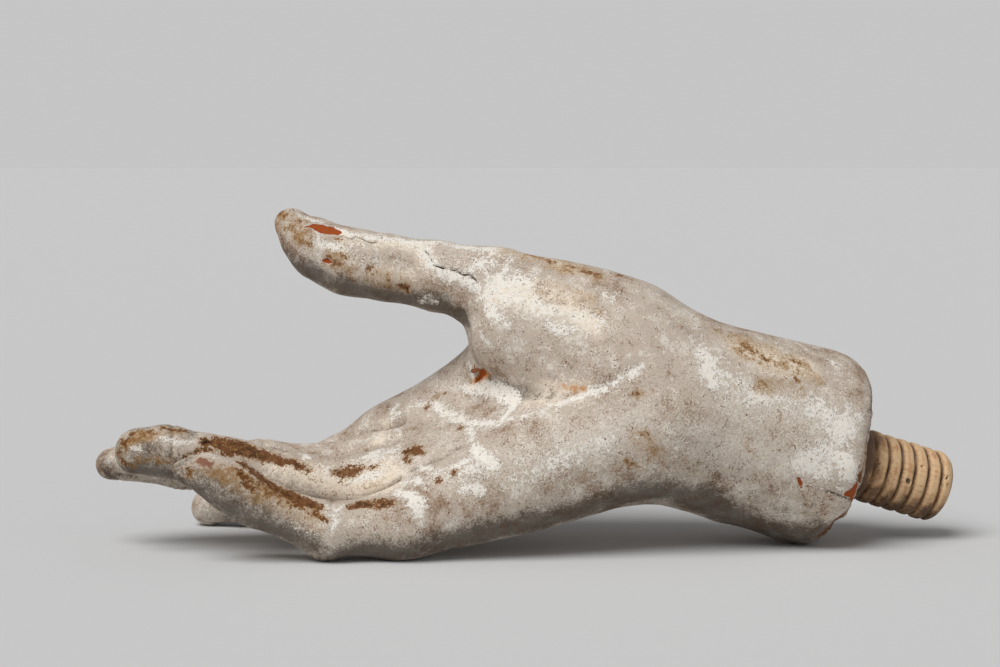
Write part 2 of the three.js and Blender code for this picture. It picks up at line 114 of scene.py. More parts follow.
# How far the backs of the fingers and of the thumb are rolled over, in degrees
PALM_ROLL = 22.0
THUMB_ROLL = 143.0
# Steps of the thumb whose waists are filled, by how much, and how far off its surface that fades, in mm
FILLED_STEPS = 3
PHALANX_WAIST = 0.5
FILL_FADE = (3.0, 0.5)
# The wrist in mm before the hand was centred, and the forearm's length from there to its cut face
WRIST = (57, -5, 45.4)
FOREARM_LENGTH = 60.0

# Joints of each finger with carved lines, which reach out to this many times the joint's radius
CREASED_JOINTS = {name: (1, 2) for name in FINGERS}
LINE_REACH = 1.5
# Bow and width in mm of the one line on the palm side, and of the lines on the back
INNER_LINE = (1.2, 0.8)
OUTER_LINE = (1.5, 0.6)
# Places of the lines on the back, in mm along the finger, and their depth against the other's
OUTER_PLACES = (-2.6, 0.0, 2.4)
OUTER_SHARE = 0.55
# How far the skin has to face the palm side or the back for those lines to start and be full
INNER_FACING = (0.1, 0.7)
OUTER_FACING = (0.35, 0.85)

# Length of a nail and width of the groove round it, in mm
NAIL_LENGTH = 10.0
NAIL_GROOVE_WIDTH = 0.55
# Half a nail's width as a share of the fingertip's radius, and its corners' radius as a share of that
NAIL_HALF_WIDTH = 0.78
NAIL_CORNER = 0.6
# The groove grows in at the nail's root and loses this share at its free end, in mm from each
NAIL_ROOT_FADE = (-1.5, 1.0)
NAIL_END_FADE = (-3, 1)
NAIL_END_SHARE = 0.6
# How far the skin has to face outwards to belong to a nail
NAIL_FACING = 0.15

# Where the thumb is glued on, as a distance from its knuckle, and the room round that joint, in mm
THUMB_ROOT = 14.0
THUMB_REACH = 19.0
THUMB_ROOM = np.array((60.0, 40.0, THUMB_REACH))
# How far past a glue line the neighbouring piece is kept until both are moulded, in mm
JOINT_MARGIN = 12.0

# Fineness of the stud's mesh, and the shape of its broad rounded crests
STUD_SIDES = 144
STUD_RINGS = 160
STUD_END_RINGS = (0.12, 0.15, 0.18, 0.2)
STUD_CREST_POWER = 3.8
# Dents of the stud as (height in mm, lump size in mm, seed, octaves), on its side and on its end
STUD_DENTS = ((0.16, 5.0, 71, 3), (0.07, 1.2, 75, 2))
STUD_END_DENTS = (0.25, 3.0, 81, 3)
STUD_END_DISH = 0.2
# Pits: depth, how deep in its mark a pit starts and is full, and how far off a mark is looked for, in mm
STUD_PIT_DEPTH = 0.9
PIT_EDGES = (-0.3, 0.5)
PIT_REACH = 3.0
# Where the painted shadow of the wrist's rim on the stud starts and is full, in mm from the wrist's face
STUD_ROOT_SHADE = (15, 3)
# Painted shade on the stud's underside, and how far down the wood faces where it starts and is full
STUD_UNDERSIDE_SHADE = 0.85
STUD_FACING = (0.0, 0.8)

# Smooth unevenness as (lump size in mm, seed, octaves), of the whole form and of brush patches
BROAD_LUMPS = (26.0, 3, 3)
MIDDLING_LUMPS = (7.0, 7, 3)
# How much of each goes into the gesso's height
BROAD_HEIGHT = 0.5
MIDDLING_HEIGHT = 0.6
# Each further octave is moved by this many lumps, so that no two line up
OCTAVE_SHIFT = 17.3
# Share of its own place that a point keeps in each round of averaging, and rounds for ridges and hollows
KEPT_SHARE = 0.3
RIDGE_ROUNDS = 40
HOLLOW_ROUNDS = 14

# Broken rim of the wrist: its lumps as above, and a level added to them so that more of it breaks
RIM_LUMPS = (5.0, 51, 3)
RIM_COVER = 0.2
# Where the breaks start and are full along the forearm and out from its axis, in mm
RIM_ALONG = (-7, -1)
RIM_OUT = (20, 24)
# Loss in mm all round, and what is added to it between these heights above the table
RIM_LOSS = 0.8
RIM_LOSS_BELOW = 1.3
RIM_DOWN = (16, 2)

# Loose marks where the skin faces this far from the camera: lumps as above, strength, rarity and most depth
FACING_AWAY = 0.145303
LOOSE_MARKS = {"chalk": ((22.0, 61, 3), 3.0, 1.9, 0.6), "tan": ((18.0, 67, 3), 2.5, 0.8, 0.4)}
# Loose wear there: shares of the unevenness, of its broad part and of ridges, rarity and most depth
LOOSE_WEAR = (0.9, 0.7, 2.2, 1.9, 1.2)
# Scattered flecks: how far out they reach in mm, and the slope, fall and most of their level
SCATTER_REACH = 3.0
SCATTER_SLOPE = 0.3
SCATTER_FALL = 0.8
SCATTER_MOST = 0.3
# Paint is rubbed pale round bare chalk too, less than in the chalk by this much in mm
CHALK_RING = 1.0
# Carved lines of the palm fade out over this share of their width, and are looked for this far out in mm
PALM_LINE_FADE = 1.6
PALM_LINE_REACH = 12.0

# Dirt: a hollow this deep in mm is full of it, and ridges keep off this much
HOLLOW_FULL = 0.3
RIDGE_CLEAN = 0.3
# Shares of the painted shade on undersides and between parts that nearly touch, and of the marks of dirt
# and painted shade
UNDERSIDE_SHADE = 0.6
CROWDED_SHADE = 0.4
MARKED_DIRT_AND_SHADE = 1.05
# How far down the skin faces where its painted shade starts and is full, and how deep in a mark it lies in
# mm where the marked dirt and painted shade start and are full
UNDERSIDE_FACING = (0.1, 0.8)
DIRT_AND_SHADE_EDGE = (-7.0, 4.0)

# Stage: the floor's radius in m, then broad even lights by name, the way each comes from, its width in
# degrees and its strength
FLOOR_RADIUS = 30.0
STAGE_LIGHTS = (
    ("key_light", (-0.45, -0.55, 1.0), 40.0, 2.45),
    ("fill_light", (1.0, -1.5, 0.45), 60.0, 0.3),
)
# Brightness of the world as the hand is lit by it, and as the camera sees it
WORLD_LIGHT = 0.22
BACKDROP = 0.56

# Camera of the photograph, in mm before the hand was centred, and its frame in pixels
CAMERA_PLACE = (0, -725, 126)
CAMERA_PITCH = 4.5
CAMERA_LENS = 80.0
CAMERA_SENSOR = 36.0
PHOTO_WIDTH = 1000
PHOTO_HEIGHT = 667
FOCAL_PIXELS = CAMERA_LENS / CAMERA_SENSOR * PHOTO_WIDTH

# A mark by the outline may miss the hand by this much, in mm, and the hand lies at these distances
NEAR_MISS = 4.0
SUBJECT_DISTANCE = (660, 820, 2)

# Marks of age, and marks of painted shade, placed by photograph pixels: each is a chain of (across, down,
# half width in mm), where a width below nought leaves only a mark's faded edge
CHALK_MARKS = {
    "thumb_ridge": [
        (340, 231, 1.2), (356, 236, 1.4), (380, 238, 1.6), (420, 243, 1.6), (455, 246, 1.8),
        (492, 250, 1.6),
    ],
    "thumb_tip_edge": [(298, 217, 0.8), (318, 220, 0.8)],
    "thumb_front": [(318, 240, 1.4), (336, 248, 1.6), (352, 262, 1.4), (366, 270, 1.0)],
    "crack_filler": [(424, 250, 1.4), (431, 264, 2.0), (445, 272, 1.8), (462, 279, 1.8), (478, 287, 2.0)],
    "thenar_root": [(484, 298, 1.2), (492, 312, 1.8), (504, 324, 1.2)],
    "thenar_joint": [(486, 274, 1.2), (500, 282, 1.6), (504, 270, 1.2), (512, 262, 0.8)],
    "thenar_top": [(505, 277, 1.2), (520, 281, 1.6), (534, 284, 0.8)],
    "thenar_spot": [(604, 295, 1.2), (610, 297, 0.8)],
    "thenar_side": [(548, 326, 0.8), (566, 331, 1.2), (580, 327, 0.6)],
    "web_scuff": [(474, 326, 0.4), (480, 336, 0.5), (489, 347, 0.4)],
    "palm_ring": [
        (410, 405, 0.8), (430, 402, 1.3), (440, 408, 2.0), (453, 415, 2.3), (470, 423, 1.4),
        (498, 423, 1.2), (509, 411, 1.8), (514, 401, 2.0), (505, 392, 3.2), (486, 388, 2.8),
        (464, 388, 1.6),
    ],
    "by_the_brad": [(470, 362, 0.8), (472, 372, 1.0), (478, 384, 2.0), (492, 388, 2.4), (504, 391, 2.4)],
    "thumb_scratch": [(419, 302.5, 0.5), (427.5, 299.5, 0.7), (432.5, 300.5, 0.5)],
    "palm_line": [
        (470, 423, 1.0), (496, 424, 0.9), (519, 416, 1.0), (539, 411, 0.8), (565, 403, 0.8),
        (589, 393, 1.4), (610, 384, 0.7), (629, 375, 0.8), (641, 364, 0.9),
    ],
    "palm_stem": [(470, 423, 1.0), (471, 432, 1.2), (472, 440, 1.4)],
    "palm_fan": [(474, 447, 1.6), (483, 455, 2.6), (492, 463, 2.2)],
    "palm_streak": [(433, 474, 0.8), (450, 467, 1.0), (470, 460, 1.2)],
    "palm_fleck": [(418, 466, 0.8), (426, 467, 1.0), (433, 471, 0.7)],
    "palm_speckle": [(465, 488, 1.4), (474, 487, 1.6), (482, 490, 1.2)],
    "root_wedge": [(399, 490, 1.2), (407, 494, 2.0), (414, 502, 2.4), (419, 512, 1.6), (422, 522, 0.8)],
    "root_line": [(399, 412, 0.6), (398, 430, 0.5), (400, 455, 0.5), (404, 482, 1.0)],
    "root_fork": [(388, 431, 0.5), (392, 418, 0.7), (397, 405, 0.7)],
    "root_spray": [(409, 481, 1.0), (416, 480, 1.3), (424, 482, 0.8)],
    "little_crease": [(328, 507, 0.8), (336, 509, 1.0), (343, 508, 0.6)],
    "little_scuff": [(306, 520, 0.8), (320, 526, 1.2), (336, 522, 1.4)],
    "ring_spot": [(306, 456, 1.6)],
    "ring_root": [(364, 458, 1.3), (374, 452, 2.3), (381, 448, 1.4)],
    "ring_middle": [(353, 480, 1.1), (366, 476, 1.4), (378, 474, 1.2)],
    "middle_root": [(368, 440, 0.8), (375, 437, 0.8)],
    "ring_tip": [(152, 440, 0.2), (165, 438, 0.6), (180, 441, 0.6), (194, 444, 0.2)],
    "ring_end": [(132, 447, 0.3), (140, 450, 0.6)],
    "wrist_top": [(703, 352, 2.4), (712, 362, 2.8), (708, 376, 2.6), (714, 386, 1.6)],
    "wrist_spot": [(836, 365, 1.6)],
    "wrist_middle": [(752, 394, 1.6), (764, 397, 2.2)],
    "wrist_fleck": [(816, 407, 1.8)],
    "wrist_upper": [(836, 430, 3.0), (846, 422, 2.6), (852, 434, 2.6)],
    "wrist_lower": [(800, 466, 3.2), (812, 460, 3.6), (822, 470, 3.2)],
    "wrist_end": [(838, 458, 2.8), (847, 468, 3.2), (850, 476, 2.0)],
    "rim_streak": [(846, 404, 0.8), (856, 412, 0.9), (862, 418, 0.8)],
    "rim_chip_edge": [(843, 489, 0.5), (850, 486, 0.6), (856, 484, 0.5)],
}
SCATTER_MARKS = {
    "thenar": [(486, 288, 5.0), (518, 290, 7.0), (552, 302, 7.0), (590, 316, 5.0)],
    "thumb_root": [(430, 258, 2.0), (460, 276, 3.0), (485, 262, 3.0)],
    "thumb": [(318, 246, 2.5), (345, 258, 2.5), (372, 262, 1.5)],
    "palm": [(440, 478, 2.5), (470, 470, 3.5), (490, 468, 3.0)],
    "roots": [(330, 476, 3.0), (368, 464, 4.0), (392, 450, 4.0)],
    "little": [(300, 518, 3.0), (330, 520, 4.0)],
    "wrist": [
        (702, 350, 4.0), (722, 380, 5.0), (755, 394, 5.0), (800, 398, 5.0), (838, 428, 6.0),
        (825, 465, 6.0),
    ],
    "heel": [(510, 480, 2.5), (560, 460, 3.5), (610, 440, 3.0)],
}
PALE_MARKS = {
    "heel": [(520, 458, 6.0), (560, 448, 8.0), (605, 438, 8.0), (645, 415, 6.0)],
    "palm": [(440, 430, 1.0), (480, 460, 4.0)],
    "thenar": [(495, 292, 5.0), (530, 300, 7.0), (570, 314, 7.0), (600, 328, 4.0)],
    "thumb_ridge": [(345, 234, 1.0), (400, 241, 1.5), (450, 247, 2.0), (490, 254, 2.0)],
    "wrist": [(700, 370, 4.0), (740, 405, 7.0), (790, 405, 7.0), (830, 425, 7.0)],
    "forearm": [(690, 430, 6.0), (740, 445, 7.0), (800, 462, 7.0), (840, 455, 5.0)],
}
# Dirt on the fingertips, the ring finger and the wrist's rim, and painted shade along the undersides of the
# thumb, palm, fingers and wrist
DIRT_AND_SHADE_MARKS = {
    "ring_tip": [(118, 450, 4.5), (140, 456, 6.0), (175, 462, 6.0)],
    "rim_edge": [(866, 446, -2.0), (861, 466, -1.0), (857, 480, -2.0)],
    "ring_top": [(128, 438, 3.0), (150, 430, 3.0), (185, 432, 3.0)],
    "little_tip": [(182, 466, 2.5), (205, 474, 3.5), (232, 486, 4.0)],
    "little_front": [(182, 474, 3.0), (205, 488, 4.0), (235, 504, 5.0), (270, 524, 5.0), (310, 540, 4.0)],
    "ring_under": [(118, 458, 3.0), (135, 466, 3.0), (165, 474, 3.0)],
    "middle_tip": [(100, 460, 3.0), (108, 470, 2.0)],
    "thumb_side": [(370, 256, -2.0), (394, 257, -1.0), (416, 260, -2.0)],
    "thumb_under": [
        (283, 246, 2.0), (300, 266, 3.0), (335, 284, 3.0), (390, 297, 3.0), (450, 308, 3.0),
        (464, 318, 3.0),
    ],
    "palm_under": [
        (345, 556, 4.0), (420, 548, 4.0), (500, 530, 4.0), (580, 512, 4.0), (650, 492, 3.0),
        (690, 496, 2.0),
    ],
    "wrist_under": [(700, 500, 5.0), (740, 522, 5.0), (790, 538, 5.0), (825, 530, 3.0)],
}
# Forms corrected to the photograph's outline: chains of (across, down, reach in mm), then a height in mm
FORM_MARKS = {
    "middle_pad": ([(101, 446, 5.0), (106, 442, 5.0)], -2.4),
    "thumb_end": ([(279, 226, 5.0), (284, 242, 5.0)], 1.4),
    "thumb_corner": ([(281, 213, 4.0)], 0.6),
    "thumb_belly": ([(318, 281, 4.0), (330, 286, 4.0)], 0.7),
    "ring_top": ([(138, 431, 6.0), (156, 428, 6.0)], 1.0),
    "ring_bump": ([(168, 426, 3.0)], -0.6),
    "thenar_crest": ([(515, 255, 9.0), (560, 264, 9.0), (620, 281, 9.0)], 1.1),
    "wrist_crest": ([(715, 326, 9.0), (770, 340, 9.0), (830, 352, 9.0)], 1.4),
    "wrist_under": ([(690, 507, 8.0), (712, 516, 8.0)], 1.6),
    "ring_ridge": ([(215, 441, 7.0), (240, 443, 7.0), (262, 446, 7.0)], 1.6),
    "rim_side": ([(854, 470, 6.0), (856, 488, 6.0), (846, 510, 6.0)], 1.6),
}
WARM_MARKS = {
    "finger_roots": [(275, 467, 2.0), (300, 476, 3.0), (335, 486, 4.0), (370, 486, 4.0), (394, 474, 3.5)],
    "ring_side": [(352, 474, 2.5), (388, 462, 2.5)],
    "middle_root": [(382, 440, 2.0), (384, 428, 1.5)],
    "thenar": [(490, 292, 3.0), (515, 290, 4.5), (545, 296, 5.5), (575, 306, 5.0), (590, 322, 3.5)],
    "thenar_crest": [(500, 250, 1.5), (545, 262, 2.0), (585, 274, 2.0)],
    "little_top": [(362, 496, 1.6), (384, 490, 3.0), (397, 484, 3.0)],
    "life_line": [(530, 400, 2.0), (555, 393, 2.8), (580, 390, 2.6)],
    "wrist_top": [(735, 346, 3.0), (770, 360, 5.0), (805, 368, 4.0)],
    "thumb_side": [(380, 276, 1.5), (410, 276, 1.2)],
    "thumb_ridge": [(345, 236, 1.6), (420, 246, 1.8), (430, 266, 2.0)],
}
WEAR_MARKS = {
    "ring_ridge": [
        (203, 444, 1.3), (216, 445, 2.3), (236, 448.5, 3.0), (250, 451.5, 3.0), (266, 455.5, 2.4),
        (280, 459.5, 1.6), (294, 462.5, 1.1), (302, 467, 1.2), (308, 470, 0.6),
    ],
    "ring_crest": [(164, 428, 0.7), (174, 429, 1.0), (184, 431, 0.6)],
    "ring_tip": [(122, 440, 0.5), (126, 450, 0.6)],
    "little_ridge": [
        (238, 461, 0.8), (250, 468, 1.6), (262, 477, 2.2), (280, 488, 2.6), (298, 497, 2.6),
        (312, 503.5, 2.0), (321, 507.5, 1.0),
    ],
    "little_side": [(240, 471, 0.8), (246, 483, 1.0), (252, 491, 0.7)],
    "little_trail": [(288, 499, 0.5), (302, 507, 0.6), (316, 514, 0.6), (326, 521, 0.4)],
    "little_root": [
        (350, 507, 1.1), (358, 504, 1.9), (368, 503, 2.0), (380, 502.5, 1.9), (391, 503.5, 1.0),
    ],
    "ring_root": [(334, 473, 1.0), (343, 472, 2.0), (352, 471, 2.2), (363, 467.5, 0.9)],
    "little_contour": [
        (172, 466, 0.4), (186, 456, 0.5), (200, 450.5, 0.5), (216, 451, 0.5), (232, 456, 0.6),
        (245, 463, 0.7),
    ],
    "ring_end": [(117, 450, 0.5), (119, 458, 0.9), (123, 463, 0.8), (132, 466, 0.5)],
    "ring_brow": [(122, 446, 0.5), (128, 439, 0.8), (136, 433, 0.5)],
    "ring_root_dots": [(370, 467.5, 0.5), (375, 467, 0.5)],
    "palm_spot": [(403, 455, 0.9), (410, 451, 1.9), (417, 450, 1.9), (423, 453, 0.9)],
    "palm_drip": [(406, 457, 0.9), (409, 462, 0.6)],
    "palm_dot": [(427, 406, 0.9)],
    "stem_dot": [(460, 428, 0.9)],
    "streak_dot": [(438, 480, 0.9)],
    "streak_fleck": [(454, 472.5, 0.8)],
    "thumb_hole": [(402, 286, 0.9), (407, 289, 0.9)],
    "thumb_fleck": [(369, 269, 1.0)],
    "little_tip": [(187, 468, 0.4), (190, 472, 0.8), (188, 476, 0.4)],
}
SMEAR_MARKS = {
    "thumb_tip": [(281, 213, 0.6), (289, 218, 1.4), (302, 222, 1.2)],
    "thumb_end": [(281, 226, 0.9), (290, 228, 1.0), (297, 236, 0.6)],
    "ring_mottle": [(130, 441, 1.0), (147, 435, 1.2), (156, 436, 0.6)],
    "ring_low": [(138, 459, 0.8), (152, 461, 1.0), (165, 462, 0.5)],
    "middle_end": [(106, 443, 1.0), (110, 446, 0.8)],
    "thumb_under_chip": [(325, 236, 0.4), (335, 238, 0.8), (341, 238, 0.4)],
    "thumb_middle": [(322, 261, 0.9), (332, 263, 1.2), (336, 253, 0.9), (344, 256, 0.5)],
    "thenar_a": [(525, 256, 0.8), (538, 260, 1.8), (552, 265, 1.2)],
    "thenar_b": [(570, 269, 1.2), (586, 274, 1.8), (600, 278, 1.2)],
    "wrist_a": [(738, 345, 0.6), (752, 350, 1.0), (762, 356, 1.4), (772, 364, 0.8)],
    "palm_line": [(434, 396, 0.8), (440, 391, 0.8), (452, 393, 0.6), (468, 395, 0.5)],
    "little_speckle": [
        (246, 477, 2.0), (262, 486, 2.6), (282, 497, 2.8), (302, 506, 2.4), (316, 512, 1.6),
    ],
    "thumb_mottle": [(300, 240, 0.8), (318, 250, 1.0), (334, 260, 1.0), (352, 268, 0.6)],
    "thenar_edge": [(611, 276, 0.9), (622, 280, 0.7), (640, 285, 0.5), (654, 291, 0.4)],
    "wrist_ridge": [(736, 350, 1.0), (743, 354, 1.2), (749, 358, 0.8)],
    "wrist_b": [(760, 355, 0.9), (768, 360, 1.4), (777, 367, 0.8)],
    "wrist_c": [(792, 360, 0.9), (799, 363, 1.3), (805, 366, 0.6)],
    "wrist_d": [(796, 380, 1.0), (801, 385, 1.1), (806, 391, 0.6)],
    "wrist_e": [(757, 382, 0.8), (765, 384, 0.5)],
    "wrist_f": [(734, 387, 0.8), (743, 390, 0.6)],
    "wrist_dash": [(780, 413, 0.4), (784, 421, 0.4)],
    "wrist_dots": [(748, 442, 0.6), (751, 449, 0.6)],
    "rim_edge": [(866, 446, 0.5), (863, 458, 0.8), (860, 470, 1.0), (857, 480, 0.8)],
    "heel_stain": [(630, 464, 1.2), (643, 468, 1.0), (650, 462, 0.8)],
    "heel_dot": [(646, 434, 1.0)],
    "heel_smear": [(636, 396, 0.7), (650, 395, 0.9)],
}
TAN_MARKS = {
    "thenar_top": [(505, 252, 1.5), (530, 259, 3.5), (555, 265, 4.0), (585, 273, 4.0), (604, 279, 2.5)],
    "thenar_mottle": [(545, 288, 3.0), (575, 300, 4.0), (598, 308, 2.5)],
    "wrist_top": [(718, 336, 2.0), (740, 346, 4.5), (770, 358, 5.5), (800, 368, 4.5), (815, 380, 2.5)],
    "wrist_side": [(760, 385, 2.5), (800, 390, 3.0)],
    "heel": [(636, 440, 2.0), (660, 452, 2.5)],
    "thumb_tip": [(280, 216, 2.5), (292, 224, 3.0), (302, 236, 2.5)],
    "thumb_belly": [(330, 258, 3.0), (352, 266, 2.5), (380, 280, 2.5), (405, 284, 2.5)],
    "little": [(200, 462, 2.0), (235, 478, 3.0), (270, 500, 3.0), (320, 522, 3.0)],
    "ring_tip": [(128, 442, 2.0), (150, 434, 2.5), (180, 432, 2.0)],
}
BRICK_MARKS = {
    "thumb_chip": [
        (304, 227, 0.3), (313, 226, 1.2), (322, 227.5, 2.0), (331, 229.5, 2.1), (338, 232, 1.2),
    ],
    "thumb_dot": [(323, 260.5, 0.5), (328, 261.5, 0.8), (331, 262, 0.4)],
    "rim_chip": [(845, 494, 0.7), (850, 492, 1.5), (854, 488, 2.0), (853, 496, 1.6), (850, 503, 0.7)],
    "wrist_dot": [(799, 479, 0.5), (801, 484, 0.7), (802, 489, 0.3)],
    "wrist_fleck": [(825, 515, 0.4)],
    "little_fleck": [(260, 512, 0.45)],
}
FLESH_MARKS = {
    "little_oval": [(200, 460, 1.2), (205, 462, 1.6), (210, 464, 1.1)],
    "wrist_spot": [(836, 365, 0.7)],
}
CRACK_MARKS = {
    "thumb_root": [(424, 248, 0.1), (429, 255, 0.17), (433, 261, 0.17)],
    "thumb_root_long": [
        (434, 264.5, 0.18), (444, 268, 0.21), (455, 270, 0.21), (463, 275, 0.22), (469, 274, 0.22),
        (477, 282, 0.15),
    ],
    "thumb_chip_tail": [
        (341, 236, 0.14), (353, 238, 0.18), (356, 236.5, 0.16), (363, 240, 0.2), (371, 243, 0.2),
        (378, 241, 0.14),
    ],
    "ring_hole": [(201, 444.5, 0.2), (206, 443, 0.6), (211, 444, 0.3)],
    "wrist_line": [(828, 492, 0.12), (838, 495, 0.16), (849, 499, 0.14)],
    "life_line": [(549, 376.5, 0.04), (554, 378, 0.08), (558, 378, 0.04)],
    "stem_pit": [(466, 443, 0.4)],
}
CREASE_MARKS = {
    "thenar_edge": [
        (462, 313, 0.8), (466.5, 324, 1.2), (469, 334, 1.4), (470, 348, 1.6), (478, 368, 2.2),
        (498, 386, 2.4), (530, 395, 2.2), (565, 395, 2.0), (600, 386, 1.8), (636, 368, 1.4),
    ],
    "finger_roots": [(399, 430, 0.4), (401, 460, 0.5), (405, 488, 0.6)],
    "heart_line": [(412, 470, 0.8), (440, 458, 1.0), (468, 442, 1.0), (480, 426, 0.8)],
    "palm_fold": [(425, 404, 0.7), (445, 411, 0.9), (470, 424, 0.9), (500, 424, 0.8)],
}
STUD_PITS = {
    "root_pit": [(879, 464, 0.5)],
    "crest_notch": [(909, 481, 0.9)],
    "crest_pit": [(922, 466, 0.4)],
    "end_pits": [(947, 478, 0.6), (948, 484, 0.4)],
}
RUST_MARKS = {
    "brad_head": [(482, 371, 0.6), (480, 376, 1.0), (477, 380, 0.6)],
}
RUST_HALO = {
    "brad_stain": [(486, 375, 1.0), (480, 378, 1.0), (473, 382, 0.6), (471, 384, 0.4)],
    "life_line_stain": [(560, 386, 0.5), (574, 389, 0.8), (584, 388, 0.5)],
}

# Outlines of marks wander by smooth noise: lump size in mm, how far they wander in mm, and seed
MARK_EDGES = {"ragged": (3.2, 0.8, 11), "fine": (1.6, 0.35, 23), "hairline": (2.0, 0.2, 37)}
PIT_EDGE = (1.5, 0.3, 91)
# Each kind of mark: its chains, its outline, how far from it a depth is kept and the greatest depth, in mm
MARKS = {
    "chalk": (CHALK_MARKS, "ragged", 6.0, 1.2),
    "scatter": (SCATTER_MARKS, "ragged", 6.0, math.inf),
    "warm": (WARM_MARKS, "ragged", 10.0, math.inf),
    "wear": (WEAR_MARKS, "fine", 6.0, 1.2),
    "smear": (SMEAR_MARKS, "ragged", 6.0, 0.9),
    "tan": (TAN_MARKS, "ragged", 6.0, 0.7),
    "pale": (PALE_MARKS, "ragged", 10.0, math.inf),
    # Dirt and painted shade, both darkening the coat through the grime and shade attribute
    "dirt": (DIRT_AND_SHADE_MARKS, "ragged", 10.0, math.inf),
    "brick": (BRICK_MARKS, "fine", 6.0, math.inf),
    "crack": (CRACK_MARKS, "hairline", 4.0, math.inf),
    "rust": (RUST_MARKS, "fine", 6.0, math.inf),
    "stain": (RUST_HALO, "fine", 6.0, math.inf),
    "flesh": (FLESH_MARKS, "fine", 6.0, math.inf),
}
NO_MARK = -6.0
# How deep in a mark its hollow starts and is full, in mm, and the depth of the pit over the brad
HOLLOW_EDGES = {"wear": (-0.3, 0.35), "brick": (-0.3, 0.3), "crack": (-0.35, 0.05), "rust": (-0.5, 0.4)}
RUST_PIT = 0.5

# Odd factors and shifts that mix whole numbers into noise that is the same on every run
HASH_FACTORS = (374761393, 668265263, 2246822519)
HASH_SEED_FACTOR = 3266489917
HASH_ROUNDS = ((15, 2654435761), (13, 2246822519), (16, 1))


def srgb(code):
    """Linear colour with alpha from an sRGB hex value such as A89A8C."""
    channels = [int(code[i:i + 2], 16) / 255 for i in (0, 2, 4)]
    return [c / 12.92 if c <= 0.04045 else ((c + 0.055) / 1.055) ** 2.4 for c in channels] + [1.0]


def colour(name, description, code):
    """A colour a user can change, written as an sRGB hex value."""
    return bpy.props.FloatVectorProperty(
        name=name, description=description, subtype="COLOR", size=4, min=0, max=1, default=srgb(code))


def length(name, description, mm):
    """A length a user can change, written in millimetres."""
    return bpy.props.FloatProperty(
        name=name, description=description, subtype="DISTANCE", unit="LENGTH", default=mm * MM)


class HandSizes(bpy.types.PropertyGroup):
    """Sizes of the hand's surface and of its wear."""
    palm_voxel: length("Palm mesh", "Spacing of the palm's surface points", 0.75)
    digit_voxel: length("Digit mesh", "Spacing of the fingers' and thumb's surface points", 0.5)
    overlap: length("Overlap", "How far sections are swelled so that the glue lines close", 0.2)
    unevenness: length("Unevenness", "Height of the hand-rubbed unevenness of the gesso", 0.16)
    crease_depth: length("Crease depth", "Depth of the carved lines of the palm", 0.9)
    joint_crease: length("Joint crease", "Depth of the carved lines at the finger joints", 0.4)
    nail_groove: length("Nail groove", "Depth of the groove round each nail", 0.4)
    wear_depth: length("Wear depth", "How deep the coat is worn away", 0.35)
    chip_depth: length("Chip depth", "How deep the red ground lies in a chip", 0.55)
    crack_depth: length("Crack depth", "Depth of the open cracks", 0.9)


class StudSizes(bpy.types.PropertyGroup):
    """Sizes of the stud's thread."""
    pitch: length("Pitch", "Length of one turn of the thread", 4.8)
    thread_depth: length("Thread depth", "Depth of the groove below the crest", 1.5)
    end_rounding: length("End rounding", "Radius of the stud's rounded end", 4.5)


class HandColours(bpy.types.PropertyGroup):
    """Colours of the aged coats."""
    paint: colour("Paint", "Greyed flesh paint", "C2B4A5")
    paint_dark: colour("Dirty paint", "Grains of paint darkened by handling", "87786C")
    paint_light: colour("Pale paint", "Grains rubbed thin over the gesso", "DED5C9")
    chalk: colour("Chalk", "Bare white gesso", "EFEBE3")
    cream: colour("Cream", "Yellowed varnish over flesh paint", "F5E7D3")
    flesh: colour("Flesh", "Undercoat of pink flesh paint", "7E4C3A")
    speck: colour("Speck", "Brown specks in the paint", "93704F")
    # Also the colour of the painted shade under the hand and between its parts
    grime: colour("Grime", "Dirt in the hollows", "474038")
    wood: colour("Worn wood", "Wood where the coat is worn off", "6C4222")
    # Also the painted shade on the stud, in its grooves, by the wrist and underneath
    wood_dark: colour("Dark wood", "Wood darkened by handling", "3F2A19")
    ochre: colour("Ochre", "Old size round the worn places", "9E7A4A")
    brick: colour("Red ground", "Red ground in the chips", "9C4A1C")
    rust: colour("Rust", "Rust over the brad", "9A4C14")
    rust_stain: colour("Rust stain", "Rust drawn into the gesso", "C98542")
    crack: colour("Crack", "Depth of an open crack", "3A2416")
    stud: colour("Stud wood", "Bare turned wood of the stud", "D6B48A")
    # Also the painted shade on the sides of the thread's grooves, by the wrist and underneath
    stud_dark: colour("Stud grain", "Darker grain of the stud", "A27A52")
    stud_pink: colour("Stud crest", "Reddened crests of the thread", "BC8458")
    iron: colour("Iron", "Rusted iron of the brad", "6E4A34")
    floor: colour("Floor", "Plain pale floor", "D2D2D2")


def deselect():
    """Selects nothing, so that what is added next is selected alone."""
    for other in bpy.context.view_layer.objects:
        other.select_set(False)


def only(*objects):
    """Selects these objects alone and makes the first one active."""
    deselect()
    for obj in objects:
        obj.select_set(True)
    bpy.context.view_layer.objects.active = objects[0]


def apply_modifier(obj, kind, **settings):
    """Adds one modifier with its settings and applies it."""
    only(obj)
    modifier = obj.modifiers.new(kind.title(), kind)
    for name, value in settings.items():
        setattr(modifier, name, value)
    bpy.ops.object.modifier_apply(modifier=modifier.name)


def points_of(obj):
    """The object's vertices in mm, one row each."""
    flat = np.empty(3 * len(obj.data.vertices))
    obj.data.vertices.foreach_get("co", flat)
    return flat.reshape(-1, 3) / MM


def normals_of(obj):
    """The object's vertex normals, one row each."""
    flat = np.empty(3 * len(obj.data.vertices))
    obj.data.vertex_normals.foreach_get("vector", flat)
    return flat.reshape(-1, 3)


def place_points(obj, points):
    """Moves the object's vertices to these places, in mm."""
    obj.data.vertices.foreach_set("co", (points * MM).ravel())
    obj.data.update()


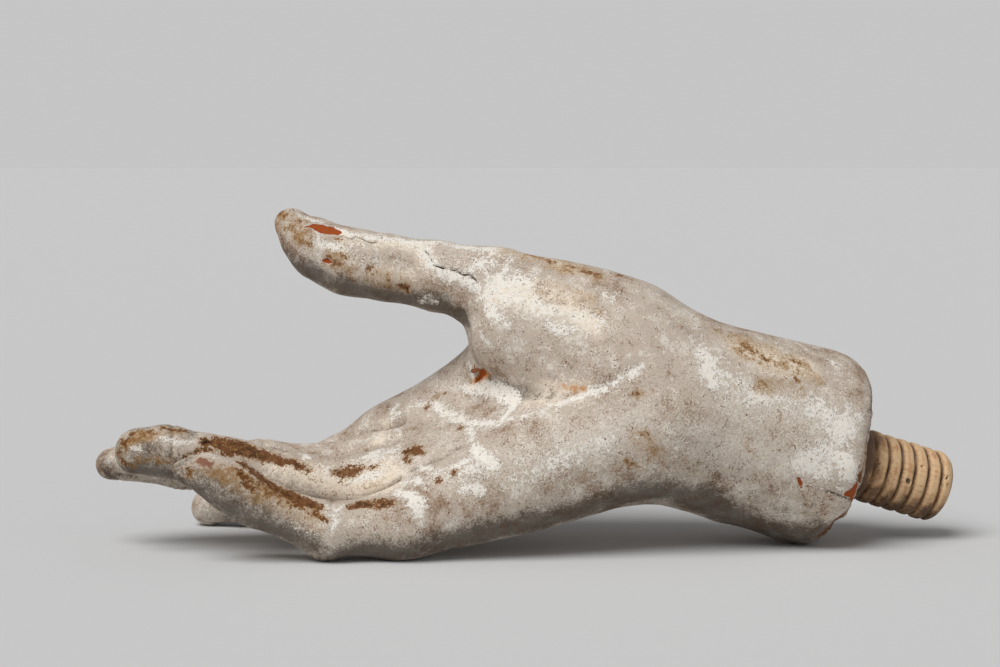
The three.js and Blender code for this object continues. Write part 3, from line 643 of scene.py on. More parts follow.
def paint_attribute(obj, name, values):
    """Keeps one number for each vertex, for the materials to read."""
    attribute = obj.data.attributes.new(name, "FLOAT", "POINT")
    attribute.data.foreach_set("value", values.astype(np.float32))


def unit(vector):
    """The vector at a length of 1."""
    return np.asarray(vector, float) / np.linalg.norm(vector)


def step(low, high, values):
    """A smooth step from 0 at low to 1 at high."""
    t = np.clip((values - low) / (high - low), 0, 1)
    return t * t * (3 - 2 * t)


def lattice(cells, seed):
    """A repeatable number from -1 to 1 for each whole-numbered cell."""
    mix = np.full(len(cells), seed * HASH_SEED_FACTOR % 2**32, np.uint32)
    for place, factor in zip(cells.astype(np.int64).astype(np.uint32).T, HASH_FACTORS):
        mix += place * np.uint32(factor)
    for shift, factor in HASH_ROUNDS:
        mix = (mix ^ (mix >> np.uint32(shift))) * np.uint32(factor)
    return mix.astype(float) / 2**31 - 1


def unevenness(points, size, seed, octaves=3):
    """Smooth noise from about -1 to 1 whose lumps are about size mm across."""
    total = np.zeros(len(points))
    weight = 1.0
    for octave in range(octaves):
        scaled = points / size * 2**octave + OCTAVE_SHIFT * octave
        base = np.floor(scaled)
        part = scaled - base
        part = part**3 * (part * (part * 6 - 15) + 10)
        for corner in np.ndindex(2, 2, 2):
            share = np.prod(np.where(corner, part, 1 - part), axis=1)
            total += weight * share * lattice(base + corner, seed + octave)
        weight *= 0.5
    return total


def neighbour_mean(edges, values):
    """The mean of each vertex's neighbours."""
    count = len(values)
    a, b = edges.T
    degree = np.bincount(a, minlength=count) + np.bincount(b, minlength=count)
    columns = [
        np.bincount(a, values[b, i], count) + np.bincount(b, values[a, i], count)
        for i in range(values.shape[1])]
    return np.stack(columns, 1) / np.maximum(degree, 1)[:, None]


def hollowness(obj, rounds):
    """How far each vertex lies below the surface averaged round it, in mm; ridges are negative."""
    edges = np.empty(2 * len(obj.data.edges), np.int32)
    obj.data.edges.foreach_get("vertices", edges)
    edges = edges.reshape(-1, 2)
    points = points_of(obj)
    soft = points
    for _ in range(rounds):
        soft = KEPT_SHARE * soft + (1 - KEPT_SHARE) * neighbour_mean(edges, soft)
    return np.sum((soft - points) * normals_of(obj), axis=1)


def merged_copy(node):
    """A copy of one CAD solid with its triangles joined up."""
    mesh = frame["nodes"][node].data.copy()
    mesh.materials.clear()
    obj = bpy.data.objects.new(f"{node}_copy", mesh)
    bpy.context.scene.collection.objects.link(obj)
    only(obj)
    bpy.ops.object.mode_set(mode="EDIT")
    bpy.ops.mesh.select_all(action="SELECT")
    bpy.ops.mesh.remove_doubles(threshold=MERGE_DISTANCE * MM)
    bpy.ops.object.mode_set(mode="OBJECT")
    return obj


def rounded_copy(node):
    """A copy of a carved section with its facets rounded out and its cut edges kept."""
    obj = merged_copy(node)
    bpy.ops.object.mode_set(mode="EDIT")
    bpy.ops.mesh.select_all(action="DESELECT")
    bpy.ops.mesh.select_mode(type="EDGE")
    bpy.ops.mesh.edges_select_sharp(sharpness=math.radians(SHARP_EDGE))
    bpy.ops.transform.edge_crease(value=1)
    bpy.ops.mesh.select_mode(type="VERT")
    bpy.ops.object.mode_set(mode="OBJECT")
    apply_modifier(obj, "SUBSURF", levels=2, render_levels=2)
    return obj


def keep_largest(obj):
    """Deletes every loose shell but the largest, which keeps the object's name."""
    only(obj)
    name = obj.name
    before = set(bpy.context.scene.objects)
    bpy.ops.object.mode_set(mode="EDIT")
    bpy.ops.mesh.select_all(action="SELECT")
    bpy.ops.mesh.separate(type="LOOSE")
    bpy.ops.object.mode_set(mode="OBJECT")
    shells = [obj] + [other for other in bpy.context.scene.objects if other not in before]
    largest = max(shells, key=lambda shell: len(shell.data.vertices))
    for shell in shells:
        if shell is not largest:
            bpy.data.meshes.remove(shell.data)
    largest.name = largest.data.name = name
    return largest


def cut_away(obj, place, direction, low, high):
    """Cuts off what lies beyond a plane, inside a box given in mm, and closes the cut."""
    only(obj)
    mesh = obj.data
    centres = np.empty(3 * len(mesh.polygons))
    mesh.polygons.foreach_get("center", centres)
    centres = centres.reshape(-1, 3) / MM
    inside = np.all((centres > low) & (centres < high), axis=1)
    mesh.vertices.foreach_set("select", np.zeros(len(mesh.vertices), bool))
    mesh.edges.foreach_set("select", np.zeros(len(mesh.edges), bool))
    mesh.polygons.foreach_set("select", inside)
    bpy.ops.object.mode_set(mode="EDIT")
    bpy.ops.mesh.select_mode(type="FACE")
    bpy.ops.mesh.bisect(
        plane_co=Vector(place) * MM, plane_no=direction, use_fill=True, clear_outer=True,
        threshold=CUT_MERGE_DISTANCE * MM)
    bpy.ops.mesh.select_mode(type="VERT")
    bpy.ops.object.mode_set(mode="OBJECT")


def moulded(parts, name, voxel):
    """One closed skin over several sections, trimmed by planes, with the glue lines between them filled."""
    sizes = bpy.context.scene.hand_sizes
    copies = []
    for node, trims in parts.items():
        copy = rounded_copy(node) if node in SECTIONS else merged_copy(node)
        apply_modifier(copy, "DISPLACE", strength=sizes.overlap, mid_level=0)
        for place, direction in trims:
            cut_away(copy, place, direction, -EVERYWHERE, EVERYWHERE)
        copies.append(copy)
    only(*copies)
    bpy.ops.object.join()
    skin = copies[0]
    apply_modifier(skin, "REMESH", mode="VOXEL", voxel_size=voxel)
    skin = keep_largest(skin)
    skin.name = skin.data.name = name
    apply_modifier(skin, "SMOOTH", factor=0.5, iterations=SMOOTHING_ROUNDS)
    apply_modifier(skin, "DISPLACE", strength=-sizes.overlap, mid_level=0)
    return skin


def wrist_place():
    """The middle of the wrist's cut face in mm, and the way the stud leaves it."""
    joint = frame["joints"][0]
    return np.array(joint["pos_m"]) / MM, unit(joint["axis"])


def centring():
    """How far the carved hand was moved to centre it on the table, in mm."""
    place, axis = wrist_place()
    return place - np.array(WRIST) - FOREARM_LENGTH * axis


def digit_joints(name):
    """The joints of one digit from knuckle to tip in mm, each with its radius."""
    knuckle, radius, phalanges = DIGITS[name]
    place = np.array(knuckle) + centring()
    joints = [(*place, radius)]
    for reach, heading, slope, end_radius in phalanges:
        across = math.radians(heading)
        up = math.radians(slope)
        way = (-math.cos(up) * math.cos(across), math.cos(up) * math.sin(across), math.sin(up))
        place = place + reach * np.array(way)
        joints.append((*place, end_radius))
    return np.array(joints)


def thumb_seat():
    """The middle of the thumb's glued joint in mm, and the way the thumb leaves it."""
    knuckle, bend = digit_joints("thumb")[:2, :3]
    way = unit(bend - knuckle)
    return knuckle + THUMB_ROOT * way, way


def photo_ray(across, down):
    """The way from the camera through one pixel of the photograph."""
    pitch = math.radians(CAMERA_PITCH)
    x = (across - PHOTO_WIDTH / 2) / FOCAL_PIXELS
    y = (down - PHOTO_HEIGHT / 2) / FOCAL_PIXELS
    way = (x, math.cos(pitch) - y * math.sin(pitch), -math.sin(pitch) - y * math.cos(pitch))
    return Vector(way).normalized()


def hand_tree():
    """The hand's CAD surface, for finding where a pixel of the photograph falls on it."""
    corners = []
    faces = []
    for node in SECTIONS:
        mesh = frame["nodes"][node].data
        start = len(corners)
        corners.extend(tuple(v.co / MM) for v in mesh.vertices)
        faces.extend(tuple(start + i for i in face.vertices) for face in mesh.polygons)
    return BVHTree.FromPolygons(corners, faces)


TREE = hand_tree()


def on_surface(tree, label, across, down):
    """Where a pixel of the photograph falls on a surface, or the place it misses by least, in mm."""
    eye = Vector(np.array(CAMERA_PLACE) + centring())
    way = photo_ray(across, down)
    hit = tree.ray_cast(eye, way)[0]
    if hit is None:
        passed = [eye + way * distance for distance in range(*SUBJECT_DISTANCE)]
        tries = [tree.find_nearest(place, NEAR_MISS) for place in passed]
        near = [found for found in tries if found[0] is not None]
        if not near:
            raise RuntimeError(f"the mark {label} misses the object at {across}, {down}")
        hit = min(near, key=lambda found: found[3])[0]
    return np.array(hit)


def on_hand(label, chain):
    """The chain's points on the hand and their half widths, in mm."""
    return [(on_surface(TREE, label, across, down), width) for across, down, width in chain]


def depth_in(points, places, reach):
    """How far each point lies inside a chain of round spots, in mm, and no less than -reach."""
    ends = np.array([place for place, _ in places])
    widest = max(width for _, width in places)
    near = np.all((points > ends.min(0) - widest - reach) & (points < ends.max(0) + widest + reach), axis=1)
    depth = np.full(len(points), -reach)
    close = points[near]
    best = np.full(len(close), -reach)
    for (a, a_width), (b, b_width) in zip(places, places[1:] or places):
        way = b - a
        share = np.clip((close - a) @ way / max(way @ way, 1e-9), 0, 1)
        distance = np.linalg.norm(close - a - share[:, None] * way, axis=1)
        best = np.maximum(best, a_width + (b_width - a_width) * share - distance)
    depth[near] = best
    return depth


def marked(points, marks, reach):
    """How far each point lies inside any of the marks, in mm, and no less than -reach."""
    depth = np.full(len(points), -reach)
    for label, chain in marks.items():
        depth = np.maximum(depth, depth_in(points, on_hand(label, chain), reach))
    return depth


def scattered(depth):
    """Thins a mark out, so that only scattered flecks of it show, fewer towards its edge."""
    level = np.minimum(SCATTER_SLOPE * depth - SCATTER_FALL, SCATTER_MOST)
    return np.where(depth > -SCATTER_REACH, level, NO_MARK)


def wandering(points, size, amount, seed):
    """The points shifted by smooth noise, so that outlines drawn from them are ragged."""
    shift = [unevenness(points, size, seed + i, 2) for i in range(3)]
    return points + amount * np.stack(shift, 1)


def digit_frames():
    """For each digit: its joints in mm with radii, and the way its back faces."""
    for name in DIGITS:
        roll = math.radians(THUMB_ROLL if name == "thumb" else PALM_ROLL)
        yield name, digit_joints(name), np.array((0, math.sin(roll), -math.cos(roll)))


def joint_lines(points, normals, depth):
    """Carved lines at the finger joints: one across the palm side and three faint ones on the back."""
    move = np.zeros(len(points))
    for name, joints, back in digit_frames():
        for index in CREASED_JOINTS.get(name, ()):
            before, here, after = joints[index - 1:index + 2]
            along = unit(unit(here[:3] - before[:3]) + unit(after[:3] - here[:3]))
            out = unit(back - (back @ along) * along)
            side = np.cross(out, along)
            offset = points - here[:3]
            close = np.linalg.norm(offset, axis=1) < LINE_REACH * here[3]
            reach = offset[close] @ along
            across = offset[close] @ side / here[3]
            facing = normals[close] @ out
            bow, width = INNER_LINE
            inner = step(*INNER_FACING, -facing) * np.exp(-((reach + bow * across**2) / width) ** 2)
            bow, width = OUTER_LINE
            outer = sum(np.exp(-((reach - gap - bow * across**2) / width) ** 2) for gap in OUTER_PLACES)
            move[close] -= depth * (inner + OUTER_SHARE * outer * step(*OUTER_FACING, facing))
    return move


def nail_grooves(points, normals, depth):
    """A groove round each nail."""
    move = np.zeros(len(points))
    for name, joints, back in digit_frames():
        before, tip = joints[-2:]
        bone = tip[:3] - before[:3]
        lean = math.asin((before[3] - tip[3]) / np.linalg.norm(bone))
        bone = unit(bone)
        back = unit(back - (back @ bone) * bone)
        out = math.cos(lean) * back + math.sin(lean) * bone
        side = np.cross(out, bone)
        along = np.cross(side, out)
        offset = points - tip[:3]
        close = np.linalg.norm(offset, axis=1) < NAIL_LENGTH + tip[3]
        close &= normals @ out > NAIL_FACING
        half = np.array((NAIL_LENGTH / 2, NAIL_HALF_WIDTH * tip[3]))
        middle = tip[3] - NAIL_LENGTH / 2
        flat = np.stack((offset[close] @ along - middle, offset[close] @ side), 1)
        corner = NAIL_CORNER * half[1]
        gap = np.abs(flat) - half + corner
        inside = corner - np.linalg.norm(np.maximum(gap, 0), axis=1) - np.minimum(gap.max(1), 0)
        past_root = step(*NAIL_ROOT_FADE, flat[:, 0] + NAIL_LENGTH / 2)
        free_end = step(*NAIL_END_FADE, flat[:, 0] - NAIL_LENGTH / 2)
        rim = np.exp(-(inside / NAIL_GROOVE_WIDTH) ** 2) * past_root
        move[close] -= depth * rim * (1 - NAIL_END_SHARE * free_end)
    return move


def rim_breaks(points):
    """Small losses along the sharp rim of the wrist, in mm, deepest at the underside."""
    place, axis = wrist_place()
    offset = points - place
    reach = offset @ axis
    spread = np.linalg.norm(offset - reach[:, None] * axis, axis=1)
    at_rim = step(*RIM_ALONG, reach) * step(*RIM_OUT, spread)
    loss = np.maximum(0, unevenness(points, *RIM_LUMPS) + RIM_COVER)
    underside = step(*RIM_DOWN, points[:, 2])
    return at_rim * loss * (RIM_LOSS + RIM_LOSS_BELOW * underside)


def thumb_fill(points):
    """Fills the shallow waists between the thumb's first steps, in mm, so that its outline runs on."""
    joints = digit_joints("thumb")[:FILLED_STEPS + 1]
    fill = np.zeros(len(points))
    total = np.full(len(points), 1e-9)
    nearest = np.full(len(points), np.inf)
    for start, end in zip(joints, joints[1:]):
        way = end[:3] - start[:3]
        share = (points - start[:3]) @ way / (way @ way)
        inside = np.clip(share, 0, 1)
        radius = start[3] + (end[3] - start[3]) * inside
        gap = np.abs(np.linalg.norm(points - start[:3] - inside[:, None] * way, axis=1) - radius)
        weight = np.exp(-gap)
        fill += weight * np.sin(math.pi * inside) ** 2
        total += weight
        nearest = np.minimum(nearest, gap)
    return PHALANX_WAIST * fill / total * step(*FILL_FADE, nearest)


def corrected_forms(points):
    """Broad swellings and hollows of the form, in mm."""
    move = np.zeros(len(points))
    for label, (chain, height) in FORM_MARKS.items():
        places = on_hand(label, chain)
        reach = np.mean([width for _, width in places])
        distance = reach - depth_in(points, places, 3 * reach)
        move += height * np.exp(-(distance / reach) ** 2)
    return move


# Used only for painted shade between parts of the hand that nearly touch
def crowding(points, normals):
    """How near each point faces another part of the hand, from 0 where it is open to 1 where they touch."""
    near = np.zeros(len(points))
    for index, (place, way) in enumerate(zip(points + GAP_START * normals, normals)):
        hit = TREE.ray_cast(Vector(place), Vector(way), GAP_REACH)
        if hit[0] is not None:
            near[index] = 1 - hit[3] / GAP_REACH
    return near


def palm_lines(points, depth):
    """Carved lines of the palm."""
    move = np.zeros(len(points))
    for label, chain in CREASE_MARKS.items():
        places = on_hand(label, chain)
        width = np.mean([w for _, w in places])
        gap = depth_in(points, places, PALM_LINE_REACH) - width
        move -= depth / 2 * width * np.exp(-(gap / (PALM_LINE_FADE * width)) ** 2)
    return move


def mark_depths(skin, points, normals, broad, middling):
    """How deep each point lies in each kind of mark, in mm, with loose ones on the sides turned away."""
    edges = {name: wandering(points, *edge) for name, edge in MARK_EDGES.items()}
    depths = {
        name: np.minimum(marked(edges[edge], marks, reach), most)
        for name, (marks, edge, reach, most) in MARKS.items()}
    depths["chalk"] = np.maximum(depths["chalk"], scattered(depths.pop("scatter")))
    depths["pale"] = np.maximum(depths["pale"], depths["chalk"] - CHALK_RING)
    loose = {
        name: np.minimum(strength * unevenness(points, *grade) - rarity, most)
        for name, (grade, strength, rarity, most) in LOOSE_MARKS.items()}
    uneven, broader, ridged, rarity, most = LOOSE_WEAR
    ridges = np.clip(-hollowness(skin, RIDGE_ROUNDS), -1, 1)
    loose["wear"] = np.minimum(uneven * (middling + broader * broad) + ridged * ridges - rarity, most)
    unseen = normals[:, 1] > FACING_AWAY
    for name, values in loose.items():
        depths[name] = np.maximum(depths[name], np.where(unseen, values, NO_MARK))
    return depths


def age(skin, sizes):
    """Carves the lines, nails, chips and cracks into a skin, and keeps what the coats need to know."""
    points = points_of(skin)
    normals = normals_of(skin)
    broad = unevenness(points, *BROAD_LUMPS)
    middling = unevenness(points, *MIDDLING_LUMPS)
    levels = mark_depths(skin, points, normals, broad, middling)
    levels["loss"] = rim_breaks(points)
    move = (MIDDLING_HEIGHT * middling + BROAD_HEIGHT * broad) * sizes.unevenness / MM
    move += nail_grooves(points, normals, sizes.nail_groove / MM)
    move += joint_lines(points, normals, sizes.joint_crease / MM)
    move += palm_lines(points, sizes.crease_depth / MM)
    move += thumb_fill(points) + corrected_forms(points)
    hollows = {"wear": sizes.wear_depth, "brick": sizes.chip_depth, "crack": sizes.crack_depth}
    for name, deep in {**hollows, "rust": RUST_PIT * MM}.items():
        move -= deep / MM * step(*HOLLOW_EDGES[name], levels[name])
    move -= levels["loss"]
    place_points(skin, points + normals * move[:, None])
    # Dirt in the hollows, kept off the ridges; painted shade on the undersides and between parts that
    # nearly touch; then the marks of dirt and painted shade
    grime = np.clip(hollowness(skin, HOLLOW_ROUNDS) / HOLLOW_FULL, -RIDGE_CLEAN, 1.0)
    grime += UNDERSIDE_SHADE * step(*UNDERSIDE_FACING, -normals[:, 2])
    grime += CROWDED_SHADE * crowding(points, normals)
    grime += MARKED_DIRT_AND_SHADE * step(*DIRT_AND_SHADE_EDGE, levels.pop("dirt"))
    levels["grime"] = grime
    for name, values in levels.items():
        paint_attribute(skin, name, values)


def plug(tree, node, inputs):
    """Sets or links some of a node's sockets, by name or by number."""
    for name, value in inputs.items():
        if isinstance(name, int):
            socket = node.inputs[name]
        else:
            socket = next(s for s in node.inputs if s.enabled and s.name == name)
        if isinstance(value, bpy.types.Node):
            value = next(s for s in value.outputs if s.enabled)
        if isinstance(value, bpy.types.NodeSocket):
            tree.links.new(value, socket)
        else:
            socket.default_value = value


def add(tree, kind, settings, inputs):
    """Adds one shader node, with its settings and with its sockets set or linked."""
    made = tree.nodes.new(kind)
    for name, value in settings.items():
        setattr(made, name, value)
    plug(tree, made, inputs)
    return made


def new_material(name):
    """An empty node material, its node tree and its shader."""
    material = bpy.data.materials.new(name)
    material.use_nodes = True
    tree = material.node_tree
    shader = next(n for n in tree.nodes if n.type == "BSDF_PRINCIPLED")
    return material, tree, shader


def lumps(place, size, detail, roughness):
    """What a noise is set to for lumps of this size in mm."""
    return {"Vector": place, "Scale": 1 / (size * MM), "Detail": detail, "Roughness": roughness}


def weighed(tree, level, weights, sources):
    """A level with some of the sources added to it, each by its weight."""
    for name, weight in weights.items():
        inputs = {0: sources[name], 1: weight, 2: level}
        level = add(tree, "ShaderNodeMath", {"operation": "MULTIPLY_ADD"}, inputs)
    return level


def mixed(tree, base, weights, sources):
    """A number, or an attribute's value, with some of the noises added to it, each centred on nought."""
    if isinstance(base, str):
        base = add(tree, "ShaderNodeAttribute", {"attribute_name": base}, {}).outputs["Fac"]
    inputs = {0: weighed(tree, base, weights, sources), 1: sum(weights.values()) / 2}
    return add(tree, "ShaderNodeMath", {"operation": "SUBTRACT"}, inputs)


def coated(tree, tone, coats, sources, colours):
    """Lays coats over a tone, each where its level passes from low to high, and gives their shares too."""
    shares = {}
    for name, (tint, base, weights, low, high, most) in coats.items():
        level = mixed(tree, base, weights, sources)
        inputs = {"Value": level, "From Min": low, "From Max": high, "To Max": most}
        share = add(tree, "ShaderNodeMapRange", {"interpolation_type": "SMOOTHSTEP"}, inputs)
        inputs = {"Factor": share, "A": tone, "B": list(getattr(colours, tint))}
        tone = add(tree, "ShaderNodeMix", {"data_type": "RGBA"}, inputs)
        shares[name] = share
    return tone, shares


def surfaced(tree, shader, tone, roughness, height, strength, deep):
    """Gives a shader its colour, its roughness and a relief this many mm deep."""
    inputs = {"Strength": strength, "Distance": deep * MM, "Height": height}
    bump = add(tree, "ShaderNodeBump", {}, inputs)
    plug(tree, shader, {"Base Color": tone, "Roughness": roughness, "Normal": bump})


# Gesso and paint: noise from hand-sized shades to brush patches and grit, as (mm, detail, roughness)
GESSO_NOISE = {
    "shades": (26, 3, 0.5),
    "patches": (8, 4, 0.6),
    "flecks": (2.2, 3, 0.6),
    "crumbs": (1.0, 2, 0.65),
}
# The sandy grains of the coat, drawn coarser than they are so that they show
GRAIN_SIZE = 0.36
GRAIN_WANDER = 0.3
# Coats from the paint up: colour, attribute they follow and noise weights, then the levels where each
# starts and is full, and how strong it is there
GESSO_COATS = {
    "brown shades": ("speck", 0.0, {"shades": 5, "patches": 7, "flecks": 5, "crumbs": 3}, 0.1, 1.5, 0.6),
    "dark grains": (
        "paint_dark", 0.0, {"first": 1, "shades": 1.2, "patches": 0.9, "flecks": 0.6}, 0.05, 0.5, 0.6,
    ),
    "brown grains": ("speck", 0.0, {"third": 1, "shades": 1, "patches": 0.8, "flecks": 1.1}, 0.1, 0.8, 0.5),
    "pale grains": (
        "paint_light", 0.0, {"second": 1.2, "patches": -6, "flecks": 5, "crumbs": 3}, 0.0, 1.4, 1.0,
    ),
    "thin gesso": (
        "paint_light", "pale", {"patches": 9, "flecks": 9, "crumbs": 6, "second": 10, "first": -6},
        -3, 8, 0.6,
    ),
    "varnish": ("cream", "warm", {"patches": 11, "flecks": 9, "crumbs": 6, "first": 4}, -3.2, 2.4, 0.85),
    "varnish flecks": (
        "ochre", "warm", {"patches": 10, "flecks": 11, "crumbs": 3, "third": 2}, 2.6, 5.2, 0.6,
    ),
    # Dirt in the hollows, and painted shade under the hand and between its parts
    "grime": (
        "grime", "grime", {"patches": 0.9, "flecks": 1.2, "crumbs": 0.6, "first": 0.5}, 0.1, 1.25, 0.8,
    ),
    "bare gesso": (
        "chalk", "chalk", {"patches": 4, "flecks": 6, "crumbs": 4, "second": 1.4}, -0.8, 0.9, 0.92,
    ),
    "stained gesso": ("cream", "chalk", {"patches": 6, "flecks": 5, "third": 2}, 0.4, 2.4, 0.35),
    "tan stain": ("ochre", "tan", {"patches": 6, "flecks": 6, "crumbs": 4, "third": 2}, -1.6, 2.2, 0.65),
    "smear": ("ochre", "smear", {"patches": 6, "flecks": 5, "third": 1.2}, -1.3, 1.3, 0.75),
    "smear core": ("wood", "smear", {"patches": 4, "flecks": 6, "crumbs": 4, "third": 1}, 0.3, 1.4, 0.75),
    "size": ("ochre", "wear", {"flecks": 4, "crumbs": 3, "third": 1.4}, -1.1, 0.1, 0.75),
    "bare wood": ("wood", "wear", {"flecks": 4, "crumbs": 4, "third": 1}, -0.15, 0.3, 0.95),
    "dark wood": ("wood_dark", "wear", {"patches": 4, "flecks": 5, "crumbs": 3}, 1.0, 1.7, 0.8),
    "wood grains": ("ochre", "wear", {"second": 1.6, "crumbs": 4, "flecks": -3}, 1.7, 2.1, 0.7),
    "rim wood": ("wood", "loss", {"flecks": 1.2, "third": 0.6}, 0.2, 0.5, 0.9),
    "flesh": ("flesh", "flesh", {"flecks": 1.5, "first": 0.4}, -0.15, 0.25, 0.85),
    "chip edge": ("chalk", "brick", {"crumbs": 0.8}, -0.5, -0.15, 0.35),
    "red ground": ("brick", "brick", {"flecks": 0.9}, -0.08, 0.08, 1.0),
    "rust stain": ("rust_stain", "stain", {"flecks": 5, "second": 1.2}, -1.0, 1.0, 0.75),
    "rust": ("rust", "rust", {"flecks": 1.5, "first": 0.5}, -0.35, 0.15, 1.0),
    "crack": ("crack", "crack", {}, -0.12, 0.0, 1.0),
}
# Roughness of the paint, and what some coats add to it and to the height of the surface
PAINT_ROUGHNESS = 0.66
GESSO_ROUGHNESS = {"bare gesso": 0.2, "bare wood": -0.08, "red ground": -0.06}
GESSO_HEIGHT = {"bare gesso": 0.3, "bare wood": -0.8, "red ground": -0.5}


def aged_gesso(colours):
    """Worn flesh paint over gesso on carved wood: matt, sandy, chalky where thin, brown where bare."""
    material, tree, shader = new_material("aged_gesso_on_wood")
    place = add(tree, "ShaderNodeTexCoord", {}, {}).outputs["Object"]
    sources = {
        name: add(tree, "ShaderNodeTexNoise", {}, lumps(place, *grade)).outputs["Fac"]
        for name, grade in GESSO_NOISE.items()}
    inputs = {"Vector": place, "Scale": 1 / (GRAIN_SIZE * MM)}
    stir = add(tree, "ShaderNodeTexNoise", {}, inputs).outputs["Color"]
    inputs = {0: stir, 1: (GRAIN_WANDER * MM,) * 3, 2: place}
    stirred = add(tree, "ShaderNodeVectorMath", {"operation": "MULTIPLY_ADD"}, inputs)
    inputs = {"Vector": stirred, "Scale": 1 / (GRAIN_SIZE * MM)}
    grains = add(tree, "ShaderNodeTexVoronoi", {}, inputs)
    chances = add(tree, "ShaderNodeSeparateColor", {}, {"Color": grains.outputs["Color"]})
    sources.update(zip(("first", "second", "third"), chances.outputs))
    tone, shares = coated(tree, list(colours.paint), GESSO_COATS, sources, colours)
    roughness = mixed(tree, PAINT_ROUGHNESS, {"flecks": 0.3}, sources)
    roughness = weighed(tree, roughness, GESSO_ROUGHNESS, shares)
    height = mixed(tree, 0.0, {"flecks": 1.2, "crumbs": 0.9, "first": 0.35}, sources)
    height = weighed(tree, height, GESSO_HEIGHT, shares)
    surfaced(tree, shader, tone, roughness, height, strength=0.6, deep=0.25)
    plug(tree, shader, {"Specular IOR Level": 0.15})
    return material


# Turned wood: broad shades round the stud, and fine grain drawn out along it
STUD_NOISE = {"shades": (5, 3, 0.55), "fleck": (0.8, 2, 0.6), "grain": (0.9, 3, 0.6)}
STUD_GRAIN_STRETCH = (1, 1, 0.12)
STUD_COATS = {
    "grain": ("stud_dark", 0.0, {"grain": 1, "fleck": 0.4}, 0.0, 0.2, 0.5),
    "blush": ("stud_pink", "blush", {"shades": 3, "grain": 1.6}, 0.6, 1.1, 0.7),
    # Painted shade in the thread's grooves
    "groove side": ("stud_dark", "groove", {"fleck": 0.5}, 0.06, 0.4, 0.75),
    "groove": ("wood_dark", "groove", {"fleck": 0.4}, 0.3, 0.7, 0.9),
    # Painted shade on the stud, by the wrist and underneath
    "painted_shade": ("stud_dark", "shade", {"shades": 1.5}, 0.0, 0.8, 0.8),
    "dirt": ("wood_dark", "shade", {"shades": 1, "fleck": 0.6}, 0.35, 0.95, 0.85),
    "specks": ("wood_dark", 0.0, {"fleck": 1}, 0.13, 0.25, 0.5),
    "pits": ("wood_dark", "pit", {"fleck": 0.5}, -0.2, 0.2, 0.9),
}


def turned_wood(colours):
    """Dry turned beech, bare: fine grain along the stud, reddened crests, and painted shade in the thread,
    by the wrist and underneath.
    """
    material, tree, shader = new_material("bare_turned_beech")
    place = add(tree, "ShaderNodeAttribute", {"attribute_name": "turned"}, {}).outputs["Vector"]
    stretched = add(tree, "ShaderNodeMapping", {}, {"Vector": place, "Scale": STUD_GRAIN_STRETCH})
    places = {"shades": place, "fleck": place, "grain": stretched}
    sources = {
        name: add(tree, "ShaderNodeTexNoise", {}, lumps(places[name], *grade)).outputs["Fac"]
        for name, grade in STUD_NOISE.items()}
    tone, _ = coated(tree, list(colours.stud), STUD_COATS, sources, colours)
    height = mixed(tree, 0.0, {"grain": 1.0, "fleck": 0.6}, sources)
    surfaced(tree, shader, tone, roughness=0.65, height=height, strength=0.6, deep=0.2)
    return material


# Dowels: straight fine grain; brad: scaly rust
DOWEL_GRAIN = (0.8, 3, 0.5)
DOWEL_GRAIN_STRETCH = (0.15, 1, 1)
DOWEL_COATS = {"grain": ("stud_dark", 0.0, {"grain": 1}, -0.15, 0.25, 0.8)}
BRAD_SCALE = (0.9, 5, 0.65)
BRAD_COATS = {"rust": ("rust", 0.0, {"scale": 1}, -0.15, 0.15, 1.0)}


def dowel_wood(colours):
    """Planed birch dowel, unseen inside the joints: pale, with fine straight grain."""
    material, tree, shader = new_material("planed_birch_dowel")
    place = add(tree, "ShaderNodeTexCoord", {}, {}).outputs["Object"]
    stretched = add(tree, "ShaderNodeMapping", {}, {"Vector": place, "Scale": DOWEL_GRAIN_STRETCH})
    grain = add(tree, "ShaderNodeTexNoise", {}, lumps(stretched, *DOWEL_GRAIN)).outputs["Fac"]
    tone, _ = coated(tree, list(colours.stud), DOWEL_COATS, {"grain": grain}, colours)
    surfaced(tree, shader, tone, roughness=0.7, height=grain, strength=0.4, deep=0.1)
    return material


def rusted_iron(colours):
    """Rusted iron brad: dull and scaly, from dark iron to orange rust."""
    material, tree, shader = new_material("rusted_iron_brad")
    place = add(tree, "ShaderNodeTexCoord", {}, {}).outputs["Object"]
    scale = add(tree, "ShaderNodeTexNoise", {}, lumps(place, *BRAD_SCALE)).outputs["Fac"]
    tone, _ = coated(tree, list(colours.iron), BRAD_COATS, {"scale": scale}, colours)
    surfaced(tree, shader, tone, roughness=0.85, height=scale, strength=0.8, deep=0.15)
    return material


def finish_piece(obj, material, body, nodes):
    """Gives a finished piece its material and its place in the frame."""
    obj.data.materials.clear()
    obj.data.materials.append(material)
    only(obj)
    bpy.ops.object.shade_smooth_by_angle(angle=math.radians(SHADED_EDGE))
    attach(obj, body)
    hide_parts(*nodes)


def gessoed(node, parts, voxel, cuts, material, name):
    """Moulds the skin of one section, ages it, cuts it off at its glue lines and finishes it."""
    skin = moulded(parts, name, voxel)
    age(skin, bpy.context.scene.hand_sizes)
    for cut in cuts:
        cut_away(skin, *cut)
    finish_piece(keep_largest(skin), material, "hand", [node])


